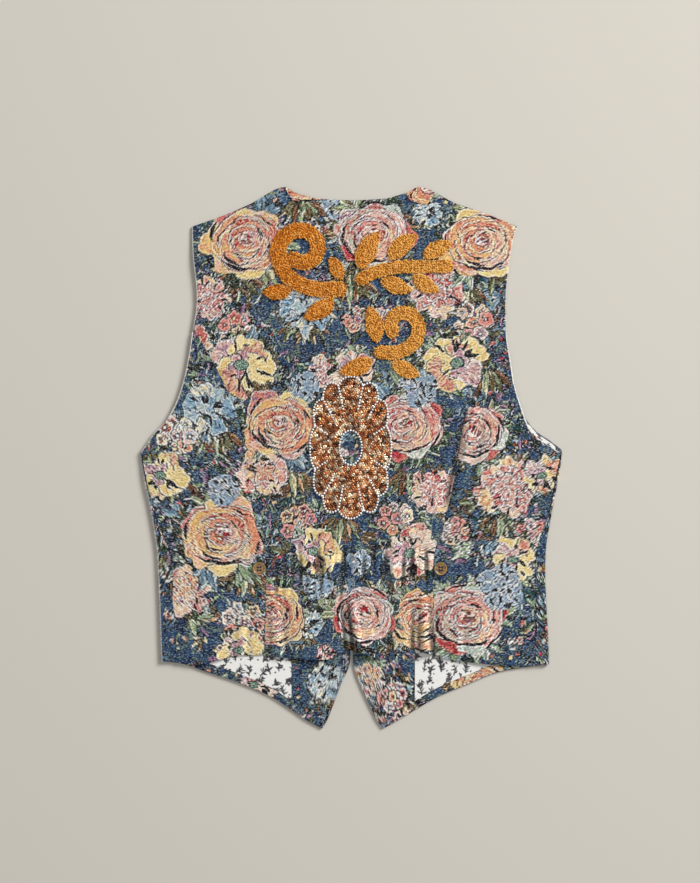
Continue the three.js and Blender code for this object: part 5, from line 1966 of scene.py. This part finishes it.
def thread_material():
    thread = Finish("button_thread")
    x, y, z = thread.split(thread.place())
    ply = thread.noise(thread.join(x * 3, y * 3, z * 3), detail=2)
    _, _, away = from_button(x, y)
    colour = thread.mix(shade("8a7a58"), shade("e6dcc0"), ply.ramp(0.4, 0.65))
    # Painted shade: the thread darkens away from the button's middle, where it goes down into the
    # holes.
    colour = thread.mix(colour, shade("140c06"), away.ramp(0.9, 1.5))
    return thread.surface(Base_Color=colour, Roughness=0.8, Normal=thread.bump(ply, 0.5, 0.0002))


HORN, THREAD = horn_material(), thread_material()
print("horn and thread are ready")


# %% Buttons and their thread
def cylinder(vertices, radius, depth, *middle):
    """A standing cylinder, with its sizes and its middle in mm."""
    deselect()
    bpy.ops.mesh.primitive_cylinder_add(vertices=vertices, radius=radius * MM, depth=depth * MM,
                                        location=[part * MM for part in middle])
    return bpy.context.object


def button(side):
    cx, cy = BUTTONS[side]
    base, top = (corner.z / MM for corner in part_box(f"button_{side}"))
    cylinder(56, BUTTON_RADIUS, BUTTON_THICK, cx, cy, (base + top) / 2)
    plate = just_made(f"button_{side}_plate")
    edit(plate, lambda x, y, z: z > top - 0.1)
    bpy.ops.mesh.select_mode(type="FACE")
    bpy.ops.mesh.inset(thickness=RIM * MM)
    bpy.ops.mesh.inset(thickness=RIM_SLOPE * MM)
    bpy.ops.transform.translate(value=(0, 0, -RIM_DROP * MM))
    bpy.ops.mesh.inset(thickness=BOSS_SLOPE * MM)
    bpy.ops.transform.translate(value=(0, 0, BOSS_RISE * MM))
    bpy.ops.object.mode_set(mode="OBJECT")
    bevel = plate.modifiers.new("rounding", "BEVEL")
    bevel.width, bevel.segments, bevel.angle_limit = ROUNDING * MM, 3, math.radians(35)
    bpy.ops.object.modifier_apply(modifier="rounding")
    drill_depth = 20  # far more than the plate is thick
    for k in range(4):
        angle = math.radians(45 + 90 * k)
        hole_x, hole_y = cx + HOLE_RING * math.cos(angle), cy + HOLE_RING * math.sin(angle)
        drill = cylinder(16, HOLE_RADIUS, drill_depth, hole_x, hole_y,
                         base + HOLE_FLOOR + drill_depth / 2)
        select_only(plate)
        cut = plate.modifiers.new("hole", "BOOLEAN")
        cut.operation, cut.object, cut.solver = "DIFFERENCE", drill, "EXACT"
        bpy.ops.object.modifier_apply(modifier="hole")
        bpy.data.objects.remove(drill)
    smooth(plate, 35)
    return dress(plate, HORN, "horn", f"button_{side}")


def button_stitches(side):
    """Two stitches of two strands of thread, each over from one hole to the next."""
    cx, cy = BUTTONS[side]
    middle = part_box(f"button_{side}")[1].z / MM - RIM_DROP - THREAD_SUNK
    parts = [thread_ring(HOLE_ASIDE, THREAD_RADIUS, 24, 8, THREAD_FOOT_SLOPE,
                         cx, cy + row * HOLE_ASIDE + strand, middle)
             for row in (-1, 1) for strand in (-THREAD_APART, THREAD_APART)]
    deselect()
    for part in parts:
        part.select_set(True)
    bpy.context.view_layer.objects.active = parts[0]
    bpy.ops.object.join()
    stitches = bpy.context.object
    stitches.name = stitches.data.name = f"button_{side}_stitches"
    stitches.data.shade_smooth()
    return dress(stitches, THREAD, "horn")


button_pieces = [make(side) for side in BUTTONS for make in (button, button_stitches)]
print("button pieces:", len(button_pieces))

# %% [markdown]
# ## Sheets of cloth
#
# Each cut piece has a row here, with the size of the flat rectangle it is cut from, its own
# flat area and what it lies on, but the loop below only works out the pieces under each. The
# areas were first estimated from the outlines. Where the finished mesh measured clearly more
# or less, its measured area took the estimate's place.

# %% Cut sizes
# piece, width and length in m, area in m2, what it lies on
CUTS = table("""
    back_centre_cloth 0.378 0.541 0.149 both_fronts
    back_side_left_cloth 0.145 0.388 0.035 front_left_cloth
    back_side_right_cloth 0.150 0.388 0.036 front_right_cloth
    front_left_cloth 0.275 0.628 0.113 table_top
    front_right_cloth 0.275 0.628 0.113 table_top
    front_facing_left_cloth 0.200 0.102 0.0072 front_left_cloth
    front_facing_right_cloth 0.200 0.102 0.0072 front_right_cloth
    front_lining_left_cloth 0.131 0.070 0.0051 front_left_cloth
    front_lining_right_cloth 0.127 0.070 0.0051 front_right_cloth
    armhole_lining_right_cloth 0.036 0.040 0.00048 front_right_cloth
    neck_roll_left_cloth 0.047 0.016 0.00025 back_centre_cloth
    neck_roll_right_cloth 0.032 0.020 0.00045 back_centre_cloth
    sequin_medallion_backing 0.094 0.164 0.0114 back_centre_cloth
""")
for name, width, length, area, below in CUTS:
    under = [cloth.name for cloth in front_cloths.values()] if below == "both_fronts" else [below]
print("sheets:", len(CUTS))

# %% [markdown]
# ## Table and light
#
# The table is a plain pale greige board, much larger than the view. The light is that of a
# studio with white walls: an even surround, and one large soft lamp from the upper right,
# so that the folds and the waistcoat's edge throw soft shadows to the lower left. A weak
# lamp overhead adds a little to the tops of the folds.

# %% Table
def table_material():
    paper = Finish("table_paper")
    tooth = paper.noise(paper.scaled(paper.place(upward=0), (0.8, 0.8, 0)), detail=3)
    colour = paper.mix(shade("cec9bf"), shade("d0cbc1"), tooth)
    return paper.surface(Base_Color=colour, Roughness=0.95, Specular_IOR_Level=0.1,
                         Normal=paper.bump(tooth, 0.05, 0.0003))


deselect()
bpy.ops.mesh.primitive_plane_add(size=8, location=(0, 0, -0.2 * MM))
board = just_made("table_top")
board.data.materials.append(table_material())


# %% Lights
def soft_lamp(name, place, size, power):
    """A square lamp that shines on the middle of the table."""
    bpy.ops.object.light_add(type="AREA", location=place)
    lamp = bpy.context.object
    lamp.name = name
    lamp.data.shape, lamp.data.size, lamp.data.energy = "SQUARE", size, power
    x, y, z = place
    lamp.rotation_euler = (math.atan2(math.hypot(x, y), z), 0, math.atan2(x, -y))
    return lamp


room = bpy.data.worlds.new("studio")
bpy.context.scene.world = room
room.use_nodes = True
surround = room.node_tree.nodes["Background"].inputs
surround["Color"].default_value = (1.0, 0.99, 0.97, 1)
surround["Strength"].default_value = 0.30
soft_lamp("window_lamp", (3.6, 3.0, 3.2), 2.2, 345)
soft_lamp("top_lamp", (-0.5, -0.2, 3.2), 1.6, 14)
bpy.context.scene.view_settings.view_transform = "Standard"
